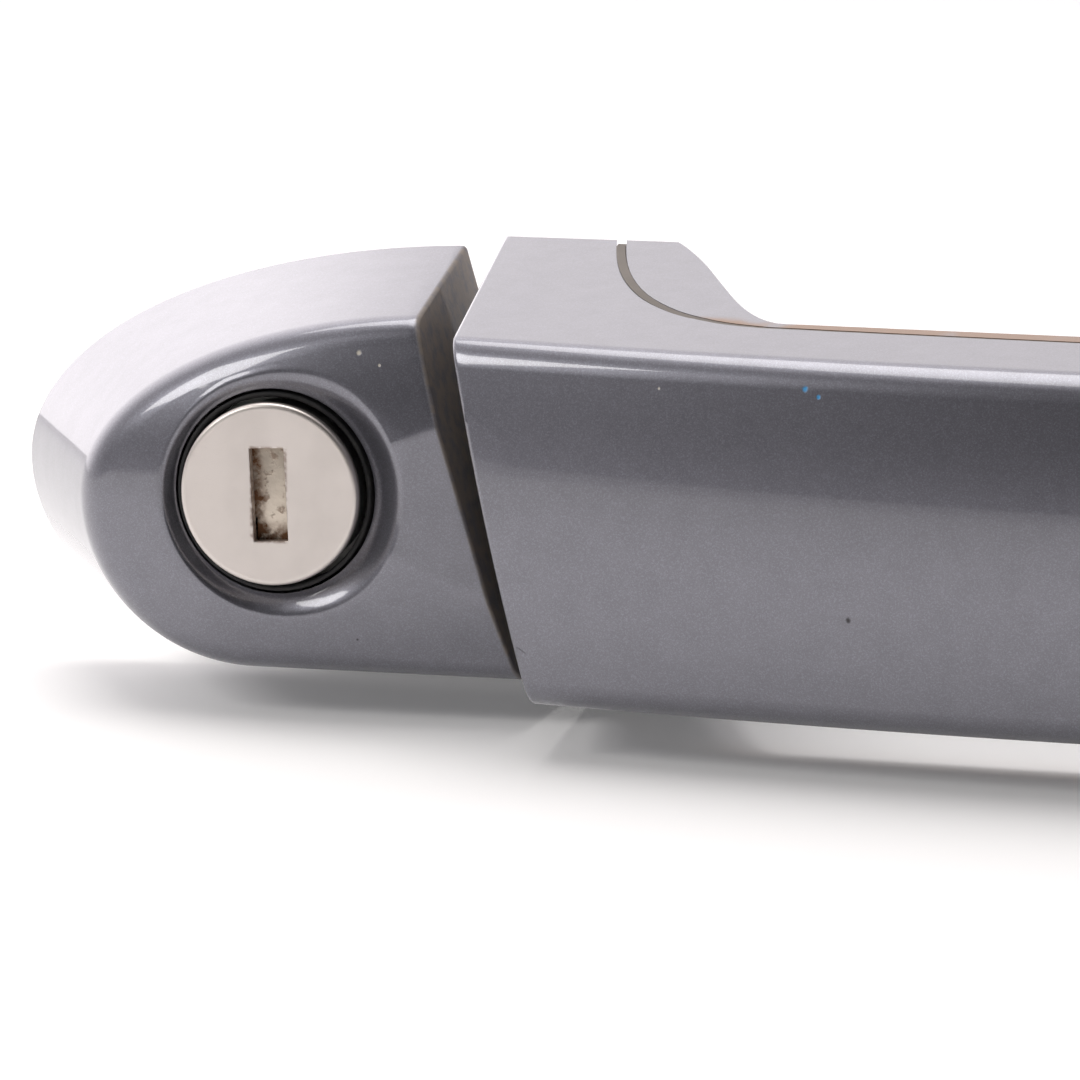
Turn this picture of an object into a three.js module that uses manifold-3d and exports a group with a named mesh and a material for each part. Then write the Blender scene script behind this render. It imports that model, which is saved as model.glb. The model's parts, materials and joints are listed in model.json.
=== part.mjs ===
// Car door handle with its lock cap, key cylinder and the carrier behind the door skin.
//
// Frame: millimetres, +X along the handle from the lock to the hinge, +Y into the door, +Z up.
// The plane y = 0 is the face of the carrier's pads, which bear on the inside of the door skin.
// The origin is the middle of the centre pad, at the height of the lock's axis.

import * as THREE from "three";
import { mergeVertices } from "three/addons/utils/BufferGeometryUtils.js";
import Module from "manifold-3d";

const wasm = await Module();
wasm.setup();

// ---------------------------------------------------------------- driving dimensions

const seatGap = 0.3; // between pieces that touch
const runGap = 0.4; // between pieces that turn in each other
const door = { skin: 1.0, gasket: 1.6 };

const handle = {
  leftX: -67.8, // left end at mid height, at the crease
  tipX: 118, // nose tip at the hinge end
  peakBack: 96, // how far behind the tip the bow stands out furthest
  peakDepth: 47.6, // crease depth there
  leftDrop: 8, // how much less the crease stands out at the left end
  hingeDrop: 17, // the same at hingeDropBack behind the tip
  hingeDropBack: 26,
  creaseHalf: 17.5, // half height at the crease
  skirtHalf: 22.85, // half height at the door skin
  crown: 2.5, // how far the face's middle stands proud of its creases
  crease: 1.6, // chamfer along the crease
  noseLength: 44, // over which the hinge end narrows
  noseRound: 16, // over which its face rolls down to the tip
  wall: 2.4,
  leanPerHeight: 0.229, // the left end's slant, per millimetre of height
  leanPerDepth: 0.08, // and towards the door
};

// Two lines seen along Z: where the shells meet, and the wall round the finger gap. Each rises
// from the skin at both legs, turns over its shoulders and bows out to its peak.
const seam = {
  legFromEnd: 3.1, // the line's foot, measured from the handle's left end
  hingeFromTip: 38.5, // and from its tip
  foot: [3.8, 21.0],
  shoulder: [11.0, 1.8],
  run: 22.0,
  barAtShoulder: 14.9, // crease depth at the peak, less the line's depth
  barAtPeak: 12.0,
  gapAtLegs: 1.0,
  gapAlongGrip: 0.4,
};
const grip = {
  legFromEnd: 10.4,
  hingeFromTip: 45.6,
  foot: [6.5, 8.0],
  shoulder: [7.5, 0.6],
  run: 20.0,
  barAtShoulder: 17.2,
  barAtPeak: 15.0,
  wall: 2.2,
  flare: 2.2, // how much wider the gap's mouths are at the skirt's height
  flareFrom: 11, // above and below this height
};

const cap = {
  gapToHandle: 5.8, // between the cap's end and the handle's, at mid height
  lockToEnd: 19.4, // lock axis to the end face, at mid height
  lockToTip: 34, // lock axis to the nose tip at the skin
  lockToFaceTip: 20, // lock axis to the nose tip at the crease
  faceDepth: 26.4, // crease depth
  crown: 3.0,
  crease: 1.6,
  topHalf: [23.5, 19.0], // above the nose line: at the skin, at the crease
  bottomHalf: [20.5, 16.5],
  noseDrop: 1.5, // the nose line lies this far below the lock axis
  topReach: [50, 38], // over which the top line falls to the nose
  bottomReach: [30, 17],
  leanPerHeight: 0.289,
  leanPerDepth: 0,
  wall: 2.2,
};

const lock = {
  faceProud: 3.1, // plug face in front of the cap's crease
  faceRadius: 9.0,
  faceThick: 1.1,
  faceChamfer: 0.6,
  headGap: 0.3, // the plug's head is this much smaller than its face
  headLength: 5.4,
  ringWidth: 1.0, // the black seal ring round the plug's face
  ringSink: 1.9, // it lies this far behind the face
  ringLength: 3.3,
  dishWidth: 2.4, // beyond the seal ring
  dishShift: 1.2, // the dish is cut a little towards the handle
  bodyRadius: 6.5,
  bodyLength: 37,
  housingBack: 26,
  chamberWall: 1.3,
  chamberLength: 11,
  keySlot: [3.5, 9.3],
  keyDepth: 30,
};

const tumbler = { count: 6, pitch: 3.2, thick: 0.8, width: 5.2, rail: 1.0, firstBack: 2.2 };
const shutter = { thick: 0.6, width: 3.9, height: 9.9, pinRadius: 0.45, barrel: 1.05 };
const tail = { radius: 4, length: 8.2, camGap: 1.1, camThick: 2.6, shaft: 4, shaftLength: 20 };

const carrier = {
  lockEnd: 19, // from the lock's axis to the lock end
  topZ: 12,
  bottomZ: -19,
  plateFront: 1.0, // the plate lies this far behind the pads' face
  plate: 3,
  flange: 2,
  flangeDepth: 6,
  pad: 20,
  seatWall: 2.8,
  earWall: 8, // from the hinge pin's axis to the hinge end
};

const pivot = {
  pastTip: 2, // the hinge pin's axis, beyond the nose tip
  pinRadius: 2.5,
  bushWall: 0.8,
  clawWall: 2.2,
  clawGap: 0.6, // between the claw's eye and the plate
  clawHalf: 7,
  z: -1,
};
const hook = { thick: 4.8, z: -4, half: 5.5, fingerThick: 4, fingerReach: 14, pinGap: 0.65 };
const crank = {
  arm: 24, // spindle to the pulled pin
  pull: 23.49, // how far the hook draws the pin
  pinRadius: 2.0,
  pinWall: 1.8,
  spindleRadius: 2.5,
  bushWall: 0.9,
  hubWall: 2.0,
  armThick: 2.4,
  armGap: 1.45, // between the arms and the plate at full pull
  sideGap: 0.8, // between the arms and the hook
  weightArm: 17,
  weightRadius: 6.4,
  cableArm: 15,
  springWire: 0.6,
  springTurns: 3.25,
};
const clips = { groove: 0.7, thick: 0.6, rim: 1.8 }; // groove depth, thickness, rim beyond the bar

// ---------------------------------------------------------------- derived places

const skirtY = -(door.skin + door.gasket + seatGap);
const gasketY = [-(door.skin + door.gasket), -door.skin];
const plateY = [carrier.plateFront, carrier.plateFront + carrier.plate];
const peakX = handle.tipX - handle.peakBack;
const legX = handle.leftX + grip.legFromEnd;

const lockX = handle.leftX - cap.gapToHandle - cap.lockToEnd;
const lockFaceY = -cap.faceDepth - lock.faceProud;
const ringY = lockFaceY + lock.ringSink;
const ringRadius = lock.faceRadius + lock.ringWidth;
const dishRadius = ringRadius + lock.dishWidth;
const headRadius = lock.faceRadius - lock.headGap;
const headFrontY = lockFaceY + lock.faceThick + seatGap;
const headBackY = headFrontY + lock.headLength;
const bodyBackY = headBackY + lock.bodyLength;
const tailBackY = bodyBackY + tail.length;
const housingRadius = ringRadius;
const housingFrontY = headBackY + runGap;
const chamberRadius = housingRadius - lock.chamberWall;
const chamberY = lock.housingBack - lock.chamberLength;
const boreRadius = lock.bodyRadius + 0.3;
const seatRadius = housingRadius + seatGap;

const clawBore = pivot.pinRadius + runGap + pivot.bushWall + seatGap;
const clawRadius = clawBore + pivot.clawWall;
const clawZ = [pivot.z - pivot.clawHalf, pivot.z + pivot.clawHalf];
const pivotX = handle.tipX + pivot.pastTip;
const pivotY = plateY[1] + pivot.clawGap + clawRadius;

const hookX = legX - grip.wall - seatGap - hook.thick / 2;
const halfSwing = Math.asin(crank.pull / 2 / crank.arm);
const crankY = plateY[1] + crank.armGap + crank.pinRadius + crank.pinWall + crank.pull / 2;
const pinX = hookX + hook.thick / 2 + 6;
const pinY = crankY + crank.pull / 2;
const crankX = pinX + crank.arm * Math.cos(halfSwing);
const crankZ = [-1, 1].map((side) => hook.z + side * (hook.half + crank.sideGap + crank.armThick));
const fingerY = pinY + crank.pinRadius + hook.pinGap;

const legHole = { x: [hookX - hook.thick / 2 - 3.6, hookX + hook.thick / 2 + 14], z: [-14, 4] };
const neckHole = { x: [hookX - hook.thick / 2 - 1.6, hookX + hook.thick / 2 + 0.8], z: legHole.z };
const ear = { thick: 2, clear: 0.5 };
const clawGasketHole = {
  x: [handle.tipX - 22, handle.tipX - 10],
  z: [clawZ[0] - 1.5, clawZ[1] + 1.5],
};
const clawHole = { x: [handle.tipX - 24, handle.tipX - 5.5], z: [clawZ[0] - 3, clawZ[1] + 3] };
const cableSeatX = crankX + 37;
const cableY = crankY + crank.cableArm * Math.cos(halfSwing);
const cableWireZ = crankZ[0] + 2;
const cableSeatZ = [cableWireZ - 5, cableWireZ + 5];
const screwBoss = { y: 13, radius: 4.6, from: lockX - 18, shank: 2.5, headRadius: 4.0 };

// ---------------------------------------------------------------- geometry helpers

/** How many flats stand in for a circle of this radius. */
const flats = (radius) => 4 * Math.round(Math.min(3 + radius / 2, 7));

/** A closed three.js geometry as a manifold solid, its faces turned outwards. */
function solid(geometry) {
  const loose = geometry.index ? geometry.toNonIndexed() : geometry;
  const bare = new THREE.BufferGeometry().setAttribute("position", loose.getAttribute("position"));
  const merged = mergeVertices(bare, 1e-4);
  const corners = merged.index.array;
  const make = (flip) => {
    const triangles = [];
    for (let i = 0; i < corners.length; i += 3) {
      const [a, b, c] = [corners[i], corners[i + 1], corners[i + 2]];
      if (a === b || b === c || c === a) continue;
      triangles.push(...(flip ? [a, c, b] : [a, b, c]));
    }
    return new wasm.Manifold(
      new wasm.Mesh({
        numProp: 3,
        vertProperties: merged.attributes.position.array,
        triVerts: new Uint32Array(triangles),
      }),
    );
  };
  const made = make(false);
  return made.volume() < 0 ? make(true) : made;
}

const join = (first, ...others) => others.reduce((sum, next) => sum.add(next), first);
const cut = (first, ...others) => others.reduce((rest, next) => rest.subtract(next), first);

/** A shape through plain [u, v] points. */
const outline = (points) => new THREE.Shape(points.map(([u, v]) => new THREE.Vector2(u, v)));
const rectangle = (u0, v0, u1, v1) => outline([[u0, v0], [u1, v0], [u1, v1], [u0, v1]]);

/** Turns (u, v, w) so that w runs along the axis: u, v are y, z for x; x, z for y; x, y for z. */
const axisFrames = {
  x: new THREE.Matrix4().set(0, 0, 1, 0, 1, 0, 0, 0, 0, 1, 0, 0, 0, 0, 0, 1),
  y: new THREE.Matrix4().set(1, 0, 0, 0, 0, 0, 1, 0, 0, 1, 0, 0, 0, 0, 0, 1),
  z: new THREE.Matrix4(),
};

/** A shape drawn across an axis and extruded along it, between two places on it. */
function prism(axis, shape, from, to) {
  const geometry = new THREE.ExtrudeGeometry(shape, {
    depth: to - from,
    bevelEnabled: false,
    curveSegments: 9,
  });
  return solid(geometry.translate(0, 0, from).applyMatrix4(axisFrames[axis]));
}

const block = (x, y, z) => prism("z", rectangle(x[0], y[0], x[1], y[1]), z[0], z[1]);

/** A round bar along an axis, centred on (u, v) across it. */
function rod(axis, radius, from, to, u = 0, v = 0, steps = flats(radius)) {
  const geometry = new THREE.CylinderGeometry(radius, radius, to - from, steps);
  geometry.rotateX(Math.PI / 2).translate(u, v, (from + to) / 2);
  return solid(geometry.applyMatrix4(axisFrames[axis]));
}

function tube(axis, outer, inner, from, to, u = 0, v = 0) {
  const steps = flats(outer);
  return cut(rod(axis, outer, from, to, u, v, steps), rod(axis, inner, from - 1, to + 1, u, v, steps));
}

/** A solid turned round the lock's axis from [radius, y] points that start and end on the axis. */
function turned(profile) {
  const points = profile.map(([radius, y]) => new THREE.Vector2(radius, y));
  return solid(new THREE.LatheGeometry(points, flats(lock.faceRadius)).translate(lockX, 0, 0));
}

/** A solid skinned over rings of [x, y, z] points, closed at its first and last ring. */
function loft(rings) {
  const size = rings[0].length;
  const middle = (ring) => [0, 1, 2].map((k) => ring.reduce((sum, p) => sum + p[k], 0) / size);
  const points = [...rings.flat(), middle(rings[0]), middle(rings[rings.length - 1])];
  const start = rings.length * size;
  const faces = [];
  for (let i = 0; i < size; i++) {
    const j = (i + 1) % size;
    faces.push(start, j, i, start + 1, start - size + i, start - size + j);
    for (let r = 0; r + 1 < rings.length; r++) {
      const [a, b] = [r * size + i, r * size + j];
      faces.push(a, b, b + size, a, b + size, a + size);
    }
  }
  const geometry = new THREE.BufferGeometry();
  geometry.setAttribute("position", new THREE.Float32BufferAttribute(points.flat(), 3));
  geometry.setIndex(faces);
  return solid(geometry);
}

/** A wire of round section along a curve. */
function wire(curve, radius, steps) {
  const section = new THREE.Shape().absarc(0, 0, radius, 0, 2 * Math.PI);
  const options = { extrudePath: curve, steps, curveSegments: 3, bevelEnabled: false };
  return solid(new THREE.ExtrudeGeometry(section, options));
}

/** A coil round an axis along Y or Z, as a curve. */
class Coil extends THREE.Curve {
  constructor(axis, at, radius, turns, from, to) {
    super();
    Object.assign(this, { axis, at, radius, turns, from, to });
  }
  getPoint(t, target = new THREE.Vector3()) {
    const angle = 2 * Math.PI * this.turns * t;
    const [u, v] = [this.radius * Math.cos(angle), this.radius * Math.sin(angle)];
    const along = THREE.MathUtils.lerp(this.from, this.to, t);
    return this.axis === "z"
      ? target.set(this.at[0] + u, this.at[1] + v, along)
      : target.set(this.at[0] + u, along, this.at[1] + v);
  }
}

/** Everything on the +X side of a slanted end plane through (x, y, 0). */
function beyondEnd(x, y, end, offset = 0) {
  const reach = 120;
  const xAt = (depth, z) => x + offset - end.leanPerHeight * z - end.leanPerDepth * (depth - y);
  const corner = (depth, z) => [xAt(depth, z), depth, z];
  const near = [corner(-reach, -reach), corner(reach, -reach), corner(reach, reach), corner(-reach, reach)];
  const far = near.map(([px, py, pz]) => [px + 3 * reach, py, pz]);
  return loft([near, far]);
}

/** Rises from 0 at the tip to 1 at one length from it, as a quarter ellipse does. */
const nose = (share) => Math.sqrt(1 - (1 - THREE.MathUtils.clamp(share, 0, 1)) ** 2);

// ---------------------------------------------------------------- handle shells

/** The crease's depth along the handle, before the nose rolls down. */
function creaseDepth(x) {
  const away = x - peakX;
  const span = away < 0 ? peakX - handle.leftX : handle.peakBack - handle.hingeDropBack;
  const drop = away < 0 ? handle.leftDrop : handle.hingeDrop;
  return handle.peakDepth - drop * Math.abs(away / span) ** 2.2;
}

/** The handle's section at x, taken in on all sides by inset. */
function handleSection(x, inset) {
  const tip = handle.tipX - inset;
  const narrow = nose((tip - x) / (handle.noseLength - inset));
  const roll = nose((tip - x) / (handle.noseRound - inset / 2));
  const depth = Math.max(creaseDepth(x) - inset, 1) * Math.max(roll, 0.06);
  const half = (handle.creaseHalf - inset) * Math.max(narrow, 0.03);
  const skirt = (handle.skirtHalf - inset) * Math.max(narrow, 0.04);
  const chamfer = Math.min(handle.crease, half / 3, depth / 3);
  const draft = (skirt - half) / Math.max(depth - chamfer + skirtY, 2);
  const side = [[3, skirt + draft * (3 - skirtY)], [-depth + chamfer, half]];
  const face = [1, 0.66, 0.33, 0].map((share) => {
    const z = (half - chamfer) * share;
    return [-depth - 0.3 - handle.crown * narrow * (1 - share ** 2), z];
  });
  const upper = [...side, ...face];
  const lower = upper.slice(0, -1).reverse().map(([y, z]) => [y, -z]);
  return [...upper, ...lower].map(([y, z]) => [x, y, z]);
}

/** The handle's whole outer form, or with an inset the form inside its walls. */
function handleForm(inset) {
  const stations = [];
  for (let x = handle.leftX - 20; x < handle.tipX - handle.noseLength - 4; x += 11) stations.push(x);
  for (let i = 0; i <= 10; i++) {
    const share = Math.sin((Math.PI / 2) * (i / 10));
    stations.push(handle.tipX - inset - (handle.noseLength - inset) * (1 - share));
  }
  const whole = loft(stations.map((x) => handleSection(x, inset)));
  const end = beyondEnd(handle.leftX, -creaseDepth(handle.leftX), handle, inset);
  const front = block([-300, 300], [-100, skirtY], [-60, 60]);
  return whole.intersect(end).intersect(inset ? block([-300, 300], [-100, 50], [-60, 60]) : front);
}

/** A bridge-shaped line as points, moved outwards by one offset at its legs and one along its top. */
function bridgeLine(line, atLegs, alongTop) {
  const left = handle.leftX + line.legFromEnd - atLegs;
  const right = handle.tipX - line.hingeFromTip + atLegs;
  const depth = handle.peakDepth - line.barAtShoulder + alongTop;
  const peak = handle.peakDepth - line.barAtPeak + alongTop;
  const { foot, shoulder, run } = line;
  const shape = new THREE.Path();
  shape.moveTo(left, 60);
  shape.lineTo(left, 0);
  shape.bezierCurveTo(left + foot[0], -foot[1], left + run - shoulder[0], shoulder[1] - depth, left + run, -depth);
  shape.quadraticCurveTo(peakX, depth - 2 * peak, right - run, -depth);
  shape.bezierCurveTo(right - run + shoulder[0], shoulder[1] - depth, right - foot[0], -foot[1], right, 0);
  shape.lineTo(right, 60);
  return shape.getPoints(9).map(({ x, y }) => [x, y]);
}

/** The space behind a bridge-shaped line. */
const behind = (line, atLegs = 0, alongTop = atLegs) =>
  prism("z", outline(bridgeLine(line, atLegs, alongTop)), -60, 60);

/** The finger gap, or with an offset the form that far outside it: its mouths flare up and down. */
function fingerGap(offset = 0) {
  const rise = handle.skirtHalf - grip.flareFrom;
  const heights = [0, 0.34, 0.66, 1, 1.5].map((share) => [grip.flareFrom + rise * share, share]);
  const levels = [...heights.map(([z, share]) => [-z, share]).reverse(), ...heights];
  return loft(
    levels.map(([z, share]) => {
      const flare = offset + grip.flare * share ** 2.2;
      return bridgeLine(grip, flare, flare).map(([x, y]) => [x, y, z]);
    }),
  );
}

function outerShell() {
  return cut(handleForm(0), behind(seam), handleForm(handle.wall));
}

function innerShell() {
  const channel = cut(handleForm(grip.wall), fingerGap(grip.wall));
  const form = handleForm(0).intersect(behind(seam, -seam.gapAtLegs, -seam.gapAlongGrip));
  return cut(form, fingerGap(), channel);
}

// ---------------------------------------------------------------- pieces inside the handle

/** The inside of the handle's left end wall at a depth and height. */
const endWallX = (y, z) =>
  handle.leftX + handle.wall - handle.leanPerHeight * z - handle.leanPerDepth * (y + creaseDepth(handle.leftX));

const core = { intoCrown: 0.2, thick: 3.5, z: [-9, 7], leftGap: 1.2, padLength: [13.1, 14], rightFromTip: 20 };
const coreLeftX = endWallX(-creaseDepth(handle.leftX), core.z[0]) + core.leftGap;
const coreRightX = handle.tipX - core.rightFromTip;
const legPadX = coreLeftX + core.padLength[0];
const hingePadX = coreRightX - core.padLength[1];
const flangeThick = 3;
const screw = { shank: 1.5, head: 2.8, headHeight: 2.2, bite: 2.6 };

const coreFrontAt = (x) => -creaseDepth(x) + handle.wall - core.intoCrown;
const hookFlangeY = coreFrontAt(coreLeftX) + core.thick + seatGap;
const clawFlangeY = coreFrontAt(coreRightX) + core.thick + seatGap;

/** The stiff spine that carries the pull from the hook to the claw, with a flat pad at each end. */
function handleCore() {
  const bow = [];
  for (let i = 0; i <= 9; i++) {
    const x = THREE.MathUtils.lerp(legPadX + 8, hingePadX - 8, i / 9);
    bow.push([x, coreFrontAt(x)]);
  }
  const front = [
    [coreLeftX, coreFrontAt(coreLeftX)],
    [legPadX, coreFrontAt(coreLeftX)],
    ...bow,
    [hingePadX, coreFrontAt(coreRightX)],
    [coreRightX, coreFrontAt(coreRightX)],
  ];
  const back = front.map(([x, y]) => [x, y + core.thick]).reverse();
  const bar = prism("z", outline([...front, ...back]), ...core.z);
  return cut(bar, ...[...hookScrews, ...clawScrews].map((place) => screwHole(place)));
}

const screwPair = (x, flangeY) => [4, -6].map((z) => ({ x, y: flangeY + flangeThick, z }));
const hookScrews = screwPair(legPadX - 4, hookFlangeY);
const clawScrews = screwPair(hingePadX + 4, clawFlangeY);

/** A pan-head socket screw driven towards the handle's face, its head over a flange's back, y. */
function screwAt({ x, y, z }) {
  const seat = y + seatGap;
  const shank = rod("y", screw.shank, seat - flangeThick - screw.bite, seat + 0.5, x, z, 12);
  const head = rod("y", screw.head, seat, seat + screw.headHeight, x, z, 16);
  return cut(join(shank, head), rod("y", 1.4, seat + 0.9, seat + 4, x, z, 6));
}

const screwHole = ({ x, y, z }) => rod("y", screw.shank + seatGap, y - flangeThick - 20, y + 1, x, z, 12);

/** The arm through the door skin, whose finger pulls the crank's pin. */
function legHook() {
  const [left, right] = [hookX - hook.thick / 2, hookX + hook.thick / 2];
  const end = fingerY + hook.fingerThick;
  const lowest = hook.z - hook.half;
  const wallX = (y) => Math.max(left, endWallX(y, lowest) + seatGap);
  const shape = outline([
    [wallX(hookFlangeY + 1), hookFlangeY + 1],
    [right + 2, hookFlangeY + 1],
    [right, hookFlangeY + 18],
    [right, fingerY - 1.5],
    [right + 1.5, fingerY],
    [left + hook.fingerReach + 2, fingerY],
    [left + hook.fingerReach + 2, end - 1.5],
    [left + hook.fingerReach, end],
    [left + 1.5, end],
    [left, end - 1.5],
    [left, 0],
    [wallX(skirtY), skirtY],
    [wallX(-20), -20],
  ]);
  const arm = prism("z", shape, hook.z - hook.half, hook.z + hook.half);
  const flange = block([coreLeftX + 0.5, legPadX], [hookFlangeY, hookFlangeY + flangeThick], core.z);
  return cut(join(arm, flange), ...hookScrews.map((place) => screwHole(place)));
}

/** The claw that reaches past the nose, behind the skin, and turns on the hinge pin. */
function hingeClaw() {
  const [near, far] = [pivotY - clawRadius, pivotY + clawRadius];
  const armX = [handle.tipX - 19, handle.tipX - 13];
  const shape = outline([
    [hingePadX + 8, clawFlangeY + 1],
    [coreRightX, clawFlangeY + 1],
    [armX[1], clawFlangeY / 2 - 2],
    [armX[1], near + 1],
    [armX[1] + 2, near + 1.8],
    [pivotX, near + 1.8],
    [pivotX, far - 1.2],
    [armX[0] + 4, far - 1.2],
    [armX[0], pivotY],
    [armX[0], clawFlangeY / 2],
    [hingePadX + 8, clawFlangeY + 5],
  ]);
  const arm = prism("z", shape, ...clawZ);
  const flange = block([hingePadX, coreRightX], [clawFlangeY, clawFlangeY + flangeThick], core.z);
  const eye = rod("z", clawRadius, ...clawZ, pivotX, pivotY);
  const bore = rod("z", clawBore, clawZ[0] - 1, clawZ[1] + 1, pivotX, pivotY);
  return cut(join(arm, flange, eye), bore, ...clawScrews.map((place) => screwHole(place)));
}

const clawBush = () =>
  tube("z", clawBore - seatGap, pivot.pinRadius + runGap, ...clawZ, pivotX, pivotY);

// ---------------------------------------------------------------- crank behind the skin

const hubRadius = crank.spindleRadius + runGap + crank.bushWall + seatGap + crank.hubWall;
const bushOuter = crank.spindleRadius + runGap + crank.bushWall;

/** A bar with round ends between two points, seen along Z. */
function link(from, to, radius, z0, z1) {
  const [dx, dy] = [to[0] - from[0], to[1] - from[1]];
  const length = Math.hypot(dx, dy);
  const [nx, ny] = [(-dy / length) * radius, (dx / length) * radius];
  const bar = outline([
    [from[0] - nx, from[1] - ny],
    [to[0] - nx, to[1] - ny],
    [to[0] + nx, to[1] + ny],
    [from[0] + nx, from[1] + ny],
  ]);
  const ends = [from, to].map((at) => rod("z", radius, z0, z1, ...at, 24));
  return join(prism("z", bar, z0, z1), ...ends);
}

const weightAt = [
  crankX + crank.weightArm * Math.cos(halfSwing),
  crankY - crank.weightArm * Math.sin(halfSwing),
];
const weightArmZ = [crankZ[0], crankZ[0] + 4];
const cableEnd = [crankX + crank.cableArm * Math.sin(halfSwing), cableY];

function crankLever() {
  const hub = rod("z", hubRadius, ...crankZ, crankX, crankY);
  const arms = [
    [crankZ[0], crankZ[0] + crank.armThick],
    [crankZ[1] - crank.armThick, crankZ[1]],
  ].map(([z0, z1]) => link([crankX, crankY], [pinX, pinY], crank.pinRadius + crank.pinWall, z0, z1));
  const weightArm = link([crankX, crankY], weightAt, 4.2, ...weightArmZ);
  const cableArm = link([crankX, crankY], cableEnd, 3.8, ...weightArmZ);
  const nipple = rod("z", 1.9, crankZ[0] - 1, weightArmZ[1] + 1, ...cableEnd, 16);
  const wireSlot = block([cableEnd[0], cableEnd[0] + 9], [cableY - 0.9, cableY + 0.9], [cableWireZ - 0.9, crankZ[0] + 9]);
  const bore = rod("z", bushOuter + seatGap, crankZ[0] - 1, crankZ[1] + 1, crankX, crankY);
  const pinHole = rod("z", crank.pinRadius + seatGap, crankZ[0] - 1, crankZ[1] + 1, pinX, pinY, 24);
  const stubHole = rod("z", 2 + seatGap, crankZ[0] - 1, weightArmZ[1] + 1, ...weightAt, 24);
  return cut(join(hub, ...arms, weightArm, cableArm), bore, pinHole, stubHole, nipple, wireSlot);
}

const crankPin = () => rod("z", crank.pinRadius, crankZ[0], crankZ[1], pinX, pinY, 24);

/** The weight that stops the crank from opening the door in a side impact. */
function counterweight() {
  const body = rod("z", crank.weightRadius, weightArmZ[1] + seatGap, crankZ[1] - 0.5, ...weightAt, 32);
  return join(body, rod("z", 2, crankZ[0], weightArmZ[1] + 1, ...weightAt, 24));
}

const bushLength = 6;
const crankBush = (z0) =>
  tube("z", bushOuter, crank.spindleRadius + runGap, z0, z0 + bushLength, crankX, crankY);

const earZ = [
  [crankZ[0] - ear.clear - ear.thick, crankZ[0] - ear.clear],
  [crankZ[1] + ear.clear, crankZ[1] + ear.clear + ear.thick],
];

/** A pin along Z between two ears, headed beyond one and grooved for a clip beyond the other. */
function headedPin(radius, x, y, headZ, clipZ) {
  const out = Math.sign(clipZ - headZ);
  const span = (a, b) => [Math.min(a, b), Math.max(a, b)];
  const bar = rod("z", radius, ...span(headZ - out, clipZ + out * 2.4), x, y);
  const head = rod("z", radius + 1.5, ...span(headZ - out * seatGap, headZ - out * 1.5), x, y);
  const grooveZ = span(clipZ + out * 0.9, clipZ + out * 1.8);
  return cut(join(bar, head), tube("z", radius + 1.5, radius - clips.groove, ...grooveZ, x, y));
}

/** An open retaining clip in the groove of a pin of this radius, along Z or Y. */
function clip(axis, u, v, from, radius) {
  const core = radius - clips.groove;
  const outer = radius + clips.rim;
  const ring = tube(axis, outer, core + 0.15, from, from + clips.thick, u, v);
  const wide = core * 0.8;
  const mouth = prism(axis, rectangle(u - wide, v - outer - 1, u + wide, v), from - 1, from + 2);
  return cut(ring, mouth);
}

const crankSpindle = () => headedPin(crank.spindleRadius, crankX, crankY, earZ[0][0], earZ[1][1]);
const spindleClip = () => clip("z", crankX, crankY, earZ[1][1] + 1.05, crank.spindleRadius);

const springRadius = hubRadius + 0.5 + crank.springWire;
const springZ = [weightArmZ[1] + 1, weightArmZ[1] + 1 + crank.springTurns * 2 * crank.springWire * 1.25];

/** The torsion spring that sends the crank and the handle home. */
const crankSpring = () =>
  wire(
    new Coil("z", [crankX, crankY], springRadius, crank.springTurns, ...springZ),
    crank.springWire,
    crank.springTurns * 12,
  );

// ---------------------------------------------------------------- carrier and hinge pin

const hingeEarZ = [
  [clawZ[0] - ear.clear - ear.thick, clawZ[0] - ear.clear],
  [clawZ[1] + ear.clear, clawZ[1] + ear.clear + ear.thick],
];

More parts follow.
